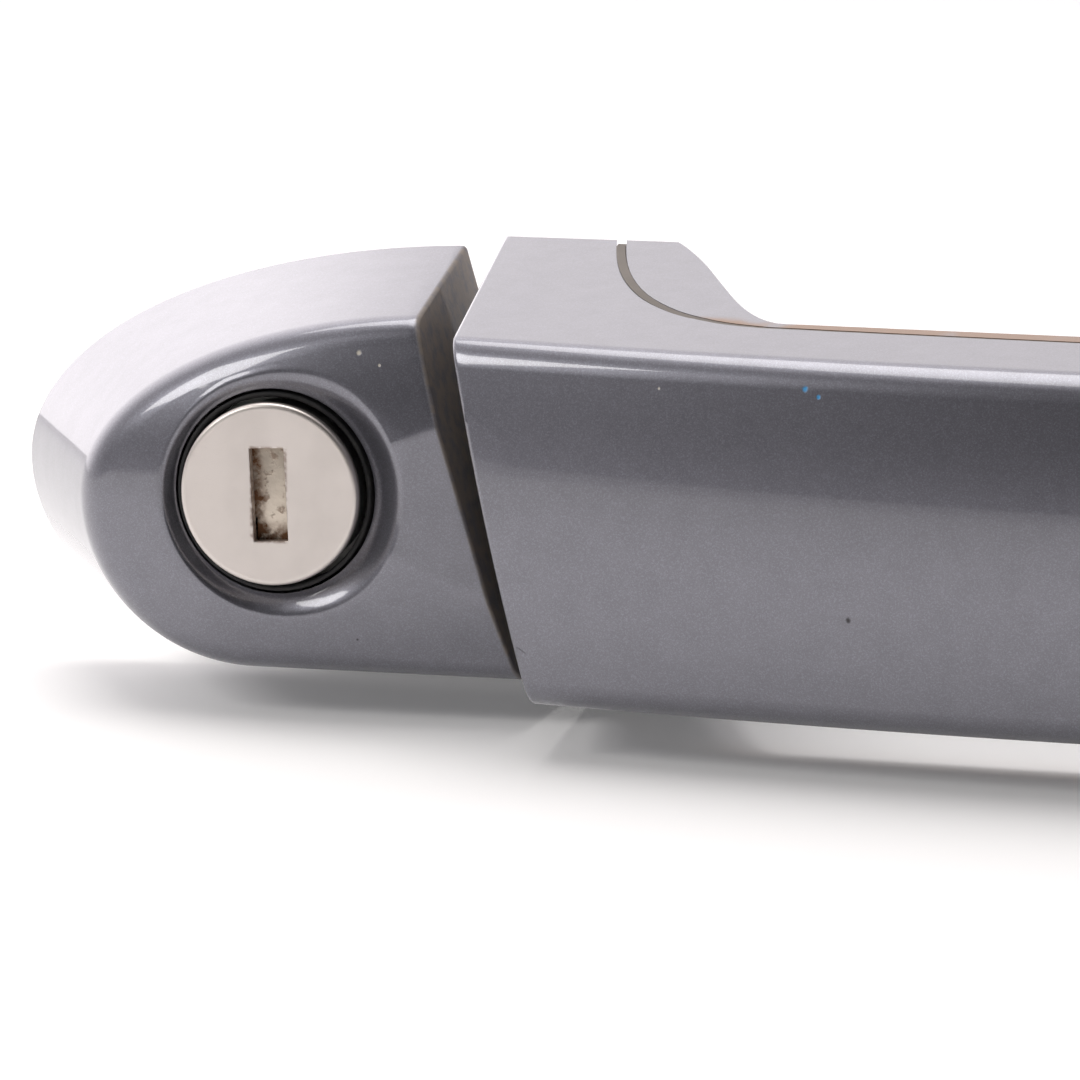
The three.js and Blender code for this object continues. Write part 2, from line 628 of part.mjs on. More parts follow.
function carrierFrame() {
  const [left, right] = [lockX - carrier.lockEnd, pivotX + carrier.earWall];
  const [low, high] = [carrier.bottomZ, carrier.topZ];
  const taper = outline([
    [left, -9],
    [left + 12, low],
    [right, low],
    [right, high],
    [left + 12, high],
    [left, 3],
  ]);
  const form = prism("y", taper, -5, 60);
  const plate = block([left, right], plateY, [low, high]);
  const padFace = [0, plateY[0] + 1];
  const pads = [
    block([-carrier.pad / 2, carrier.pad / 2], padFace, [-9, 9]),
    block([left, left + 6], padFace, [low, high]),
    block([right - 8, right], padFace, [low, high]),
  ];
  const flangeY = [plateY[1] - 1, plateY[1] + carrier.flangeDepth];
  const flanges = [
    block([left, right], flangeY, [high - carrier.flange, high]),
    block([left, right], flangeY, [low, low + carrier.flange]),
  ];
  const bays = [0, 1, 2].map((i) => THREE.MathUtils.lerp(cableSeatX + 16, clawHole.x[0] - 18, i / 2));
  const ribs = bays.map((x) => block([x, x + carrier.flange], flangeY, [low + 1, high - 1]));
  const windows = bays.slice(0, 2).map((x) => block([x + 6, x + 22], [-1, 8], [low + 6, high - 6]));
  const crankEars = earZ.map(([z0, z1]) => {
    const arm = block([crankX - 8, crankX + 8], [plateY[1] - 1, crankY], [z0, z1]);
    return join(arm, rod("z", 8, z0, z1, crankX, crankY));
  });
  const hingeEars = hingeEarZ.map(([z0, z1]) =>
    join(
      block([clawHole.x[1], right], [plateY[1] - 1, pivotY], [z0, z1]),
      rod("z", (right - clawHole.x[1]) / 2, z0, z1, (right + clawHole.x[1]) / 2, pivotY),
    ),
  );
  const seat = rod("y", seatRadius + carrier.seatWall, plateY[0], 22, lockX, 0);
  const boss = rod("x", screwBoss.radius, screwBoss.from, lockX - seatRadius - 1, screwBoss.y, 0, 24);
  const cableSeat = join(
    block([cableSeatX, cableSeatX + 3.5], [plateY[1] - 1, cableY + 6], cableSeatZ),
    block([cableSeatX, cableSeatX + 14], [plateY[1] - 1, plateY[1] + 8], [cableSeatZ[0] + 3, cableSeatZ[0] + 5.5]),
  );
  const body = join(
    join(plate, ...pads, ...flanges, ...ribs).intersect(form),
    ...crankEars,
    ...hingeEars,
    seat,
    boss,
    cableSeat,
  );
  return cut(
    body,
    rod("y", seatRadius, -1, 30, lockX, 0),
    rod("x", screwBoss.shank + seatGap, screwBoss.from - 1, lockX, screwBoss.y, 0, 24),
    block(legHole.x, [-1, 12], legHole.z),
    block(clawHole.x, [-1, 12], clawHole.z),
    rod("z", crank.spindleRadius + seatGap, -40, 20, crankX, crankY),
    rod("z", pivot.pinRadius + seatGap, -40, 20, pivotX, pivotY),
    rod("x", 2.6, cableSeatX - 1, cableSeatX + 5, cableY, cableWireZ, 16),
    block([cableSeatX - 1, cableSeatX + 5], [cableY, cableY + 9], [cableWireZ - 1.9, cableWireZ + 1.9]),
    ...windows,
    rod("y", 2.7, -1, 8, clawHole.x[0] - 8, -3, 16),
  );
}

const hingePin = () => headedPin(pivot.pinRadius, pivotX, pivotY, hingeEarZ[1][1], hingeEarZ[0][0]);
const hingeClip = () => clip("z", pivotX, pivotY, hingeEarZ[0][0] - 1.65, pivot.pinRadius);

/** The insert that closes the opening the hook went in by, and guides the hook's arm. */
function hookGuide() {
  const [x, z] = [hook.thick / 2 + 1, hook.half + 0.5];
  const [hole, y] = [legHole, [plateY[0] + seatGap, plateY[1]]];
  const insert = block(
    [hole.x[0] + seatGap, hole.x[1] - seatGap],
    y,
    [hole.z[0] + seatGap, hole.z[1] - seatGap],
  );
  return cut(insert, block([hookX - x, hookX + x], [-1, 9], [hook.z - z, hook.z + z]));
}

/** The set screw, reached from the door's edge, that holds the lock housing in the carrier. */
function lockScrew() {
  const tip = lockX - housingRadius + 1.6;
  const bar = rod("x", screwBoss.shank, screwBoss.from - 1, tip, screwBoss.y, 0, 24);
  const head = rod("x", screwBoss.headRadius, screwBoss.from - 3.3, screwBoss.from - seatGap, screwBoss.y, 0, 6);
  const socket = rod("x", 1.9, screwBoss.from - 4, screwBoss.from - 1.5, screwBoss.y, 0, 6);
  return cut(join(bar, head), socket);
}

// ---------------------------------------------------------------- gaskets on the door's outside

const gasketInset = 1.1;

/** A handle leg's footprint as a gasket, from one place along X to another, with its hole. */
function legGasket(from, to, hole) {
  const foot = handleForm(gasketInset).intersect(block([from, to], gasketY, [-60, 60]));
  return cut(foot, fingerGap(gasketInset), block(hole.x, [-9, 9], hole.z));
}

// ---------------------------------------------------------------- lock cap

/** The cap's D-shaped outline at a share of its depth, 0 at the skin and 1 at the crease. */
function capOutline(share, inset = 0) {
  const mix = ([skin, face]) => THREE.MathUtils.lerp(skin, face, share) - inset;
  const tip = lockX - mix([cap.lockToTip, cap.lockToFaceTip]);
  const arc = (half, reach, sign) => {
    const points = [];
    for (let i = 0; i <= 10; i++) {
      const angle = (Math.PI / 2) * (i / 10);
      points.push([tip + reach * (1 - Math.sin(angle)), -cap.noseDrop + sign * half * Math.cos(angle)]);
    }
    return points;
  };
  const endX = lockX + cap.lockToEnd + 14;
  const top = arc(mix(cap.topHalf), mix(cap.topReach), 1);
  const bottom = arc(mix(cap.bottomHalf), mix(cap.bottomReach), -1).reverse().slice(1);
  return [[endX, top[0][1]], ...top, ...bottom, [endX, bottom[bottom.length - 1][1]]];
}

/** The cap's outer form, or with an inset the form inside its walls. */
function capForm(inset) {
  const depth = cap.faceDepth - inset;
  const ring = (share, y, more = 0) => capOutline(share, inset + more).map(([x, z]) => [x, y, z]);
  const centre = [lockX, 0];
  const rim = capOutline(1, inset + cap.crease);
  const faceRings = [1, 0.82, 0.55, 0.25].map((share) =>
    rim.map(([x, z]) => {
      const [px, pz] = [centre[0] + (x - centre[0]) * share, centre[1] + (z - centre[1]) * share];
      return [px, -depth - 0.35 - cap.crown * (1 - share ** 2), pz];
    }),
  );
  const walls = [0, 0.35, 0.7].map((share) => ring(share, -2 - (depth - 2) * share));
  const crease = [ring(0.96, -depth + cap.crease), ring(1, -depth + 0.5, 0.55)];
  const back = capOutline(0, inset).map(([x, z]) => [x, 3, z]);
  const whole = loft([back, ...walls, ...crease, ...faceRings]);
  const beyond = beyondEnd(lockX + cap.lockToEnd, -cap.faceDepth, cap, -inset);
  const kept = cut(whole, beyond);
  return inset ? kept : kept.intersect(block([-300, 300], [-100, skirtY], [-60, 60]));
}

const collarRadius = seatRadius + cap.wall;

function lockCap() {
  const shell = cut(capForm(0), capForm(cap.wall));
  const collar = rod("y", collarRadius, ringY + 0.8, -12, lockX, 0);
  const holeRadius = ringRadius + seatGap;
  const circle = (radius, y, x) => {
    const points = [];
    for (let i = 0; i < 32; i++) {
      const angle = (2 * Math.PI * i) / 32;
      points.push([lockX + x + radius * Math.cos(angle), y, radius * Math.sin(angle)]);
    }
    return points;
  };
  const flare = (dishRadius - holeRadius) / 2;
  const dish = loft([
    circle(holeRadius, ringY, 0),
    circle(holeRadius + flare, ringY - 0.4, lock.dishShift * 0.5),
    circle(dishRadius, ringY - 1.3, lock.dishShift),
    circle(dishRadius + 3, ringY - 5, lock.dishShift * 1.2),
  ]);
  const bore = rod("y", holeRadius, -40, -5, lockX, 0);
  return cut(join(shell, collar.intersect(capForm(0.2))), dish, bore);
}

/** The ring that clips the cap to the lock housing from behind. */
const capRetainer = () =>
  tube("y", collarRadius + 1, seatRadius, -12 + seatGap, -12 + seatGap + 2.5, lockX, 0);

function capGasket() {
  const sheet = capForm(gasketInset).intersect(block([-300, 300], gasketY, [-60, 60]));
  return cut(sheet, rod("y", seatRadius + 1, -9, 9, lockX, 0));
}

// ---------------------------------------------------------------- lock cylinder

function lockHousing() {
  const body = rod("y", housingRadius, housingFrontY, lock.housingBack, lockX, 0);
  const bore = rod("y", boreRadius, -60, 60, lockX, 0);
  const chamber = rod("y", chamberRadius, chamberY, lock.housingBack + 1, lockX, 0);
  const screwSeat = rod("x", screwBoss.shank + seatGap, lockX - 12, lockX - housingRadius + 2, screwBoss.y, 0, 24);
  return cut(body, bore, chamber, screwSeat);
}

const sealRing = () => {
  const front = ringY;
  const back = Math.min(front + lock.ringLength, housingFrontY - seatGap);
  return tube("y", ringRadius, lock.faceRadius + seatGap, front, back, lockX, 0);
};

const slotBlock = (size, y0, y1) =>
  block([lockX - size[0] / 2, lockX + size[0] / 2], [y0, y1], [-size[1] / 2, size[1] / 2]);

function plugFace() {
  const { faceRadius: r, faceChamfer: edge } = lock;
  const back = lockFaceY + lock.faceThick;
  const disc = turned([[0, lockFaceY], [r - edge, lockFaceY], [r, lockFaceY + edge], [r, back], [0, back]]);
  return cut(disc, slotBlock(lock.keySlot, lockFaceY - 1, back + 1));
}

const shutterPin = { x: lockX - shutter.width / 2 - 0.95, y: headFrontY + seatGap + shutter.barrel };
const pocket = {
  x: [shutterPin.x - shutter.barrel - 0.5, lockX + shutter.width / 2 + 0.6],
  y: [headFrontY - 1, shutterPin.y + shutter.width + 1.2],
  half: shutter.height / 2 + 0.5,
};
const tumblerSize = [
  tumbler.width,
  2 * Math.sqrt((lock.bodyRadius - 0.15) ** 2 - (tumbler.width / 2) ** 2),
];
const tumblerY = Array.from(
  { length: tumbler.count },
  (_, i) => headBackY + tumbler.firstBack + i * tumbler.pitch,
);

function lockPlug() {
  const head = rod("y", headRadius, headFrontY, headBackY, lockX, 0);
  const body = rod("y", lock.bodyRadius, headBackY - 1, bodyBackY, lockX, 0);
  const stub = rod("y", tail.radius, bodyBackY - 1, tailBackY, lockX, 0, 24);
  const slots = tumblerY.map((y) => {
    const [w, h] = tumblerSize.map((size) => size + 2 * seatGap);
    return slotBlock([w, h], y - seatGap, y + tumbler.thick + seatGap);
  });
  const core = tail.radius - clips.groove;
  const groove = tube("y", tail.radius + 1, core, bodyBackY + 0.6, bodyBackY + 1.5, lockX, 0);
  return cut(
    join(head, body, stub),
    slotBlock(lock.keySlot, headFrontY - 1, headFrontY + lock.keyDepth),
    block(pocket.x, pocket.y, [-pocket.half, pocket.half]),
    rod("z", shutter.pinRadius + 0.25, -pocket.half - 1, pocket.half + 1, shutterPin.x, shutterPin.y, 16),
    ...slots,
    groove,
    rod("y", 1.3, tailBackY - 5, tailBackY + 1, lockX, 0, 16),
  );
}

function tumblerAt(y) {
  const frame = slotBlock(tumblerSize, y, y + tumbler.thick);
  return cut(frame, slotBlock([lock.keySlot[0], tumblerSize[1] - 2 * tumbler.rail], y - 1, y + 2));
}

/** The dust flap that closes the key slot and swings in ahead of the key. */
function shutterFlap() {
  const front = shutterPin.y - shutter.barrel;
  const half = shutter.height / 2;
  const leaf = block([shutterPin.x, lockX + shutter.width / 2], [front, front + shutter.thick], [-half, half]);
  const barrel = rod("z", shutter.barrel, -half + 2.6, half, shutterPin.x, shutterPin.y, 16);
  const relief = block([shutterPin.x - 3, shutterPin.x + shutter.barrel + 0.2], [front - 1, front + 4], [-half - 1, -half + 2.4]);
  const bore = rod("z", shutter.pinRadius + 0.25, -half - 1, half + 1, shutterPin.x, shutterPin.y, 16);
  return cut(join(cut(leaf, relief), barrel), bore);
}

const flapPin = () =>
  rod("z", shutter.pinRadius, -pocket.half - 0.8, pocket.half + 0.8, shutterPin.x, shutterPin.y, 12);

function shutterSpring() {
  const from = -shutter.height / 2 + 0.1;
  const coil = new Coil("z", [shutterPin.x, shutterPin.y], 0.95, 3, from + 0.2, from + 1.9);
  return wire(coil, 0.17, 27);
}

const camRadius = chamberRadius - tail.camGap;
const camY = [tailBackY - tail.camThick - 0.6, tailBackY - 0.6];

const plugClip = () => clip("y", lockX, 0, bodyBackY + 0.75, tail.radius);

/** The coil that turns the plug back to its middle when the key is let go. */
function centringSpring() {
  const thick = 0.4;
  const from = bodyBackY + 1.35 + seatGap + thick;
  const coil = new Coil("y", [lockX, 0], tail.radius + 1.6, 2.2, from, camY[0] - seatGap - thick);
  return wire(coil, thick, 28);
}

/** The cam on the plug's tail, with two stop lugs and the shaft's square socket. */
function tailCam() {
  const disc = rod("y", camRadius, ...camY, lockX, 0);
  const bore = rod("y", tail.radius + 0.25, camY[0] - 1, camY[1] + 1, lockX, 0, 24);
  const flats = [-1, 1].map((side) => {
    const near = side * (camRadius - 1.4);
    const far = side * (camRadius + 2);
    const x = [lockX + Math.min(near, far), lockX + Math.max(near, far)];
    return block(x, [camY[0] - 1, camY[1] + 1], [-9, 9]);
  });
  return cut(disc, bore, ...flats);
}

const shaftY = tailBackY + seatGap;

/** The flat bar that carries the key's turn on to the door latch. */
function driveShaft() {
  const half = tail.shaft / 2;
  const collar = rod("y", tail.radius + 1.4, shaftY, shaftY + 2, lockX, 0, 24);
  const bar = block([lockX - half, lockX + half], [shaftY + 1, shaftY + tail.shaftLength], [-half / 2, half / 2]);
  const key = rod("y", 1.0, shaftY - 3, shaftY + 1, lockX, 0, 16);
  const cross = block([lockX - half - 2, lockX + half + 2], [shaftY + tail.shaftLength - 3, shaftY + tail.shaftLength], [-half / 2, half / 2]);
  return join(collar, bar, key, cross);
}

// ---------------------------------------------------------------- finishes and assembly

const finish = (color, roughness, metalness) => new THREE.MeshStandardMaterial({ color, roughness, metalness });
const finishes = {
  paint: finish(0x5d5e66, 0.25, 0.6),
  blackPlastic: finish(0x1c1c1e, 0.6, 0),
  glassFilled: finish(0x2b2c2f, 0.7, 0),
  natural: finish(0xd8d4c8, 0.5, 0),
  rubber: finish(0x121212, 0.9, 0),
  zinc: finish(0x9c9a95, 0.45, 0.9),
  facePlate: finish(0xc9c3bf, 0.3, 1),
  steel: finish(0x8d8f92, 0.35, 1),
  brass: finish(0xb08d4a, 0.4, 1),
};

/** A solid as a named mesh with its finish. */
function piece(name, shape, material) {
  const { vertProperties, triVerts, numProp, numVert } = shape.getMesh();
  const positions = new Float32Array(numVert * 3);
  for (let i = 0; i < numVert; i++) {
    positions.set(vertProperties.subarray(i * numProp, i * numProp + 3), i * 3);
  }
  const geometry = new THREE.BufferGeometry();
  geometry.setAttribute("position", new THREE.BufferAttribute(positions, 3));
  geometry.setIndex(new THREE.BufferAttribute(triVerts, 1));
  const mesh = new THREE.Mesh(geometry, material);
  mesh.name = name;
  return mesh;
}

const carrierGroup = new THREE.Group().add(
  piece("carrier_frame", carrierFrame(), finishes.glassFilled),
  piece("hinge_pin", hingePin(), finishes.steel),
  piece("hinge_pin_clip", hingeClip(), finishes.steel),
  piece("hook_guide", hookGuide(), finishes.natural),
  piece("lock_screw", lockScrew(), finishes.steel),
  piece("crank_spindle", crankSpindle(), finishes.steel),
  piece("spindle_clip", spindleClip(), finishes.steel),
  piece("crank_spring", crankSpring(), finishes.steel),
  piece("leg_gasket", legGasket(-300, peakX, neckHole), finishes.rubber),
  piece("hinge_gasket", legGasket(peakX, 300, clawGasketHole), finishes.rubber),
  piece("cap_gasket", capGasket(), finishes.rubber),
  piece("lock_cap", lockCap(), finishes.paint),
  piece("cap_retainer", capRetainer(), finishes.natural),
  piece("lock_housing", lockHousing(), finishes.zinc),
  piece("seal_ring", sealRing(), finishes.rubber),
);

const handleGroup = new THREE.Group().add(
  piece("handle_outer_shell", outerShell(), finishes.paint),
  piece("handle_inner_shell", innerShell(), finishes.paint),
  piece("handle_core", handleCore(), finishes.glassFilled),
  piece("leg_hook", legHook(), finishes.zinc),
  piece("hinge_claw", hingeClaw(), finishes.zinc),
  piece("claw_bush", clawBush(), finishes.natural),
  ...hookScrews.map((place, i) => piece(`hook_screw_${i + 1}`, screwAt(place), finishes.steel)),
  ...clawScrews.map((place, i) => piece(`claw_screw_${i + 1}`, screwAt(place), finishes.steel)),
);

const crankGroup = new THREE.Group().add(
  piece("crank_lever", crankLever(), finishes.zinc),
  piece("crank_pin", crankPin(), finishes.steel),
  piece("counterweight", counterweight(), finishes.zinc),
  piece("crank_bush_lower", crankBush(crankZ[0]), finishes.natural),
  piece("crank_bush_upper", crankBush(crankZ[1] - bushLength), finishes.natural),
);

const plugGroup = new THREE.Group().add(
  piece("plug_face", plugFace(), finishes.facePlate),
  piece("lock_plug", lockPlug(), finishes.zinc),
  ...tumblerY.map((y, i) => piece(`tumbler_${i + 1}`, tumblerAt(y), finishes.brass)),
  piece("shutter_pin", flapPin(), finishes.steel),
  piece("shutter_spring", shutterSpring(), finishes.steel),
  piece("plug_clip", plugClip(), finishes.steel),
  piece("centring_spring", centringSpring(), finishes.steel),
  piece("tail_cam", tailCam(), finishes.zinc),
  piece("drive_shaft", driveShaft(), finishes.steel),
);

const shutterGroup = new THREE.Group().add(piece("shutter_flap", shutterFlap(), finishes.facePlate));

const assembly = new THREE.Group().add(carrierGroup, handleGroup, crankGroup, plugGroup, shutterGroup);

export default assembly;
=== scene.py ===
"""Car door handle with its lock cap, key cylinder and the carrier behind the door skin.

The mechanism comes from the packed frame and keeps its shape. The painted shells, the lock's face,
its seal and the groove's strip are modelled here over the frame, and every piece gets its finish.
Sizes are in metres, +X from the lock to the hinge, +Y into the door, +Z up.
"""

import json
import math
from contextlib import contextmanager

import bmesh
import bpy
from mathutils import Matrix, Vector


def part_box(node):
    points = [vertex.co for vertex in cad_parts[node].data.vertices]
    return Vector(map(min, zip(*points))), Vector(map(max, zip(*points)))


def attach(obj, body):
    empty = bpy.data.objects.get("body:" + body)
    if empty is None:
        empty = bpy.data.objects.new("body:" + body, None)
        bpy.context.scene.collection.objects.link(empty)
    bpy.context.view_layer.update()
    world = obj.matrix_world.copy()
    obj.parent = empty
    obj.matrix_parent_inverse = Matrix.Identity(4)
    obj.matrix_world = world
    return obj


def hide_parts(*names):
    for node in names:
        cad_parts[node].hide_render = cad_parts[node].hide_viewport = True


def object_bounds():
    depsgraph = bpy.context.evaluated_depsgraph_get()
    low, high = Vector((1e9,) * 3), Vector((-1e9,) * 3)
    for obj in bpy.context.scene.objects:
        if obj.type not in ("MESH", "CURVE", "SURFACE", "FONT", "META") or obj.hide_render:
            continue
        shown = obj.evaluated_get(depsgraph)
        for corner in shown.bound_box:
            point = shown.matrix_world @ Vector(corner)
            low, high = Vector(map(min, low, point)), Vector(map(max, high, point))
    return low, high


bl_info = {
    "name": "Door handle and lock",
    "version": (1, 0, 0),
    "blender": (4, 5, 0),
    "location": "View3D > Sidebar > Door handle",
    "description": "Builds the painted shells, the lock's face and the finishes of a door handle",
    "category": "Add Mesh",
}

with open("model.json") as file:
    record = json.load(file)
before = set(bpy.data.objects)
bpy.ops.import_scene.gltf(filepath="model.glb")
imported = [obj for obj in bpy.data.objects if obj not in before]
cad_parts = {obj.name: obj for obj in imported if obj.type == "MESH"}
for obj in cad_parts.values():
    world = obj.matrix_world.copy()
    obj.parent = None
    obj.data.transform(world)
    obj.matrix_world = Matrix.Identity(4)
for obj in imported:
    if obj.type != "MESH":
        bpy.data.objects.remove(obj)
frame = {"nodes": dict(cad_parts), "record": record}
cad_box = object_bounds()

MM = 0.001
ON_PLANE = 1e-6  # how close to a cut a point counts as on it
SHELL_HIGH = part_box("handle_outer_shell")[1]
FACE_LOW, FACE_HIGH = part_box("plug_face")
RING_LOW, RING_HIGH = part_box("seal_ring")
CAP_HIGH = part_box("lock_cap")[1]
NODE_SLOTS = {part["node"]: part["material_slot"] for part in frame["record"]["subparts"]}
LOCK_X = (FACE_LOW.x + FACE_HIGH.x) / 2
SKIRT_Y = SHELL_HIGH.y  # the shells' rims, at the door skin
TIP_X = SHELL_HIGH.x


# ---------------------------------------------------------------- settings


def length(name, description, default):
    return bpy.props.FloatProperty(
        name=name, description=description, default=default, subtype="DISTANCE", unit="LENGTH"
    )


def pair(name, description, skin, crease):
    """One size at the door skin and at the crease, in millimetres."""
    return bpy.props.FloatVectorProperty(
        name=name, description=description, default=(skin * MM, crease * MM), size=2, unit="LENGTH"
    )


def number(name, description, default):
    return bpy.props.FloatProperty(name=name, description=description, default=default, min=0)


def angle(name, description, degrees):
    return bpy.props.FloatProperty(
        name=name,
        description=description,
        default=math.radians(degrees),
        subtype="ANGLE",
        unit="ROTATION",
    )


def colour(name, description, default):
    return bpy.props.FloatVectorProperty(
        name=name, description=description, default=default, subtype="COLOR", size=3, min=0, max=1
    )


class HandleSizes(bpy.types.PropertyGroup):
    """The grip's two shells."""

    left_x: length("Left end", "Left end at mid height, at the crease", -67.8 * MM)
    lean_height: number("End slant", "The left end's slant over its height", 0.229)
    lean_depth: number("End rake", "The left end's slant towards the door", 0.08)
    peak_x: length("Bow", "Where the bow stands out furthest", TIP_X - 96 * MM)
    peak_depth: length("Reach", "The crease's depth at the bow", 47.6 * MM)
    left_drop: length("Left drop", "How much less the crease stands out at the left end", 8 * MM)
    hinge_drop: length("Hinge drop", "The same near the hinge", 17 * MM)
    hinge_span: length("Hinge span", "From the bow to the hinge drop's place", 70 * MM)
    crease_half: length("Crease half height", "Half height at the crease", 17.5 * MM)
    crown: length("Crown", "How far the face stands proud of its creases", 2.8 * MM)
    crease_radius: length("Crease radius", "Rounding along the crease", 2.3 * MM)
    end_radius: length("End radius", "Rounding round the left end", 0.45 * MM)
    nose_length: length("Nose length", "Over which the hinge end narrows", 44 * MM)
    nose_round: length("Nose round", "Over which the face rolls down to the tip", 16 * MM)
    wall: length("Outer wall", "The outer shell's wall", 2.4 * MM)
    inner_wall: length("Inner wall", "The inner shell's wall", 2.2 * MM)
    flare: length("Flare", "How much deeper the finger gap's mouths are", 3.4 * MM)
    leg_flare: length("Leg flare", "How much wider they are at each leg", 11 * MM)
    flare_from: length("Flare start", "Height above and below which the gap flares", 11 * MM)
    grip_radius: length("Grip radius", "Rounding round the finger gap's mouths", 1.6 * MM)
    seam_edge: length("Seam edge", "Rounding of the shells' rims at the seam", 0.2 * MM)
    groove_leg: length("Groove at the legs", "The seam's width there", 1.0 * MM)
    groove_top: length("Groove on top", "The seam's width along the grip", 0.4 * MM)
    groove_depth: length("Groove depth", "How deep the strip in the groove lies", 1.1 * MM)


class CapSizes(bpy.types.PropertyGroup):
    """The painted cap round the lock."""

    depth: length("Depth", "The crease's depth", 26.4 * MM)
    crown: length("Crown", "How far the face stands proud of its crease", 3.35 * MM)
    tip: pair("Tip", "Lock axis to the tip", 34, 20)
    top: pair("Top", "Height over the nose line", 23.5, 19)
    bottom: pair("Bottom", "Depth under the nose line", 20.5, 16.5)
    top_reach: pair("Top reach", "Over which the top falls to the tip", 50, 38)
    bottom_reach: pair("Bottom reach", "Over which the bottom rises to the tip", 30, 17)
    nose_drop: length("Nose drop", "The nose line below the lock's axis", 1.5 * MM)
    end_x: length("End", "Lock axis to the end face at mid height", 19.4 * MM)
    end_lean: number("End slant", "The end face's slant over its height", 0.289)
    crease_radius: length("Crease radius", "Rounding along the crease", 2.1 * MM)
    end_radius: length("End radius", "Rounding round the end face", 0.4 * MM)
    rim_radius: length("Rim radius", "Rounding of the rim at the skin", 0.2 * MM)
    wall: length("Wall", "Wall thickness", 2.2 * MM)
    dish_radius: length("Dish radius", "Radius of the dish's rim", 12.7 * MM)
    dish_depth: length("Dish depth", "From the seal's front to the dish's foot", 0.4 * MM)
    dish_shift: length("Dish shift", "The dish is cut a little towards the handle", 1.2 * MM)


class LockSizes(bpy.types.PropertyGroup):
    """The lock's face, its seal and its dust flap."""

    slot_width: length("Slot width", "Width of the key slot", 3.5 * MM)
    slot_height: length("Slot height", "Height of the key slot", 9.3 * MM)
    slot_lean: angle("Slot lean", "How far the slot leans from upright", 2.8)
    face_edge: length("Face edge", "Rounding of the face plate's rim", 0.6 * MM)
    slot_edge: length("Slot edge", "Rounding round the key slot", 0.12 * MM)
    face_margin: length("Face margin", "How much wider the plate is than its core", 0.15 * MM)
    seal_wall: length("Seal wall", "Wall of the seal ring", 0.5 * MM)


class FinishColours(bpy.types.PropertyGroup):
    """Colours of the finishes."""

    paint: colour("Paint", "Graphite metallic base coat", (0.172, 0.170, 0.196))
    flake: colour("Flake", "Metal flake in the base coat", (0.42, 0.44, 0.50))
    plate: colour("Face plate", "Satin plate of the lock's face", (0.66, 0.61, 0.575))
    flap: colour("Dust flap", "Scraped metal of the dust flap", (0.78, 0.69, 0.58))
    rust: colour("Rust", "Rust round the key slot", (0.19, 0.085, 0.035))
    # Tint of a thin brown-orange line along the grip's upper and lower edges
    edge_tint: colour("Edge tint", "Thin brown-orange line along the grip's edges", (0.42, 0.22, 0.07))
    grime: colour("Grime", "Dried dirt in the gaps", (0.30, 0.26, 0.22))
    black: colour("Black plastic", "Glass-filled plastic", (0.028, 0.028, 0.031))
    ivory: colour("Natural plastic", "Unpigmented plastic", (0.66, 0.62, 0.52))
    rubber: colour("Rubber", "Gaskets and seal", (0.016, 0.016, 0.017))
    zinc: colour("Zinc", "Die-cast zinc", (0.42, 0.42, 0.41))
    steel: colour("Steel", "Zinc-plated steel", (0.52, 0.52, 0.53))
    spring: colour("Spring steel", "Drawn wire", (0.26, 0.25, 0.245))
    brass: colour("Brass", "Stamped brass", (0.62, 0.46, 0.20))


class StageSettings(bpy.types.PropertyGroup):
    """The floor, the light and the camera."""

    azimuth: angle("Azimuth", "The camera's turn round the object", 14.5)
    elevation: angle("Elevation", "The camera's height above the horizon", 10)
    distance: length("Distance", "The camera's distance from its target", 0.7)
    target: bpy.props.FloatVectorProperty(
        name="Target",
        description="What the camera looks at",
        default=(-63.873 * MM, -35.0 * MM, -2.288 * MM),
        subtype="XYZ",
        unit="LENGTH",
    )
    lens: number("Lens", "Focal length in millimetres on the sensor", 240.33)
    sky: number("Sky", "Brightness of the white surroundings", 0.6)
    glow: number("Glow", "Extra brightness behind the object", 0.95)
    room: number("Room", "Brightness of the room in front", 0.02)
    backdrop: number("Backdrop", "Brightness of what the camera sees past the floor", 1.3)
    above: number("Light above", "Radiance of the large soft light above", 3.8)
    aside: number("Light aside", "Radiance of the smaller soft light on the left", 7.5)


SETTINGS = {
    "handle_sizes": HandleSizes,
    "cap_sizes": CapSizes,
    "lock_sizes": LockSizes,
    "finish_colours": FinishColours,
    "handle_stage": StageSettings,
}


# ---------------------------------------------------------------- modelling helpers


def deselect():
    """Leaves edit mode and selects nothing."""
    active = bpy.context.view_layer.objects.active
    if active and active.mode != "OBJECT":
        bpy.ops.object.mode_set(mode="OBJECT")
    bpy.ops.object.select_all(action="DESELECT")


def only(piece):
    """Selects one object and makes it active."""
    deselect()
    piece.select_set(True)
    bpy.context.view_layer.objects.active = piece


@contextmanager
def editing(piece, kind="VERT"):
    """Edit mode on one piece, with nothing selected."""
    only(piece)
    bpy.ops.object.mode_set(mode="EDIT")
    bpy.ops.mesh.select_mode(type=kind)
    bpy.ops.mesh.select_all(action="DESELECT")
    yield
    bpy.ops.object.mode_set(mode="OBJECT")


def pick(piece, kind, test):
    """Selects the vertices, edges or faces that pass a test, and nothing else."""
    bpy.ops.mesh.select_mode(type=kind)
    bpy.ops.mesh.select_all(action="DESELECT")
    mesh = bmesh.from_edit_mesh(piece.data)
    for element in {"VERT": mesh.verts, "EDGE": mesh.edges, "FACE": mesh.faces}[kind]:
        if test(element):
            element.select_set(True)
    bmesh.update_edit_mesh(piece.data)


def primitive(operator, name, **settings):
    """A named primitive, its place in its mesh."""
    deselect()
    operator(**settings)
    piece = bpy.context.active_object
    piece.name = name
    piece.data.name = name
    bpy.ops.object.transform_apply(location=True, rotation=True, scale=True)
    return piece


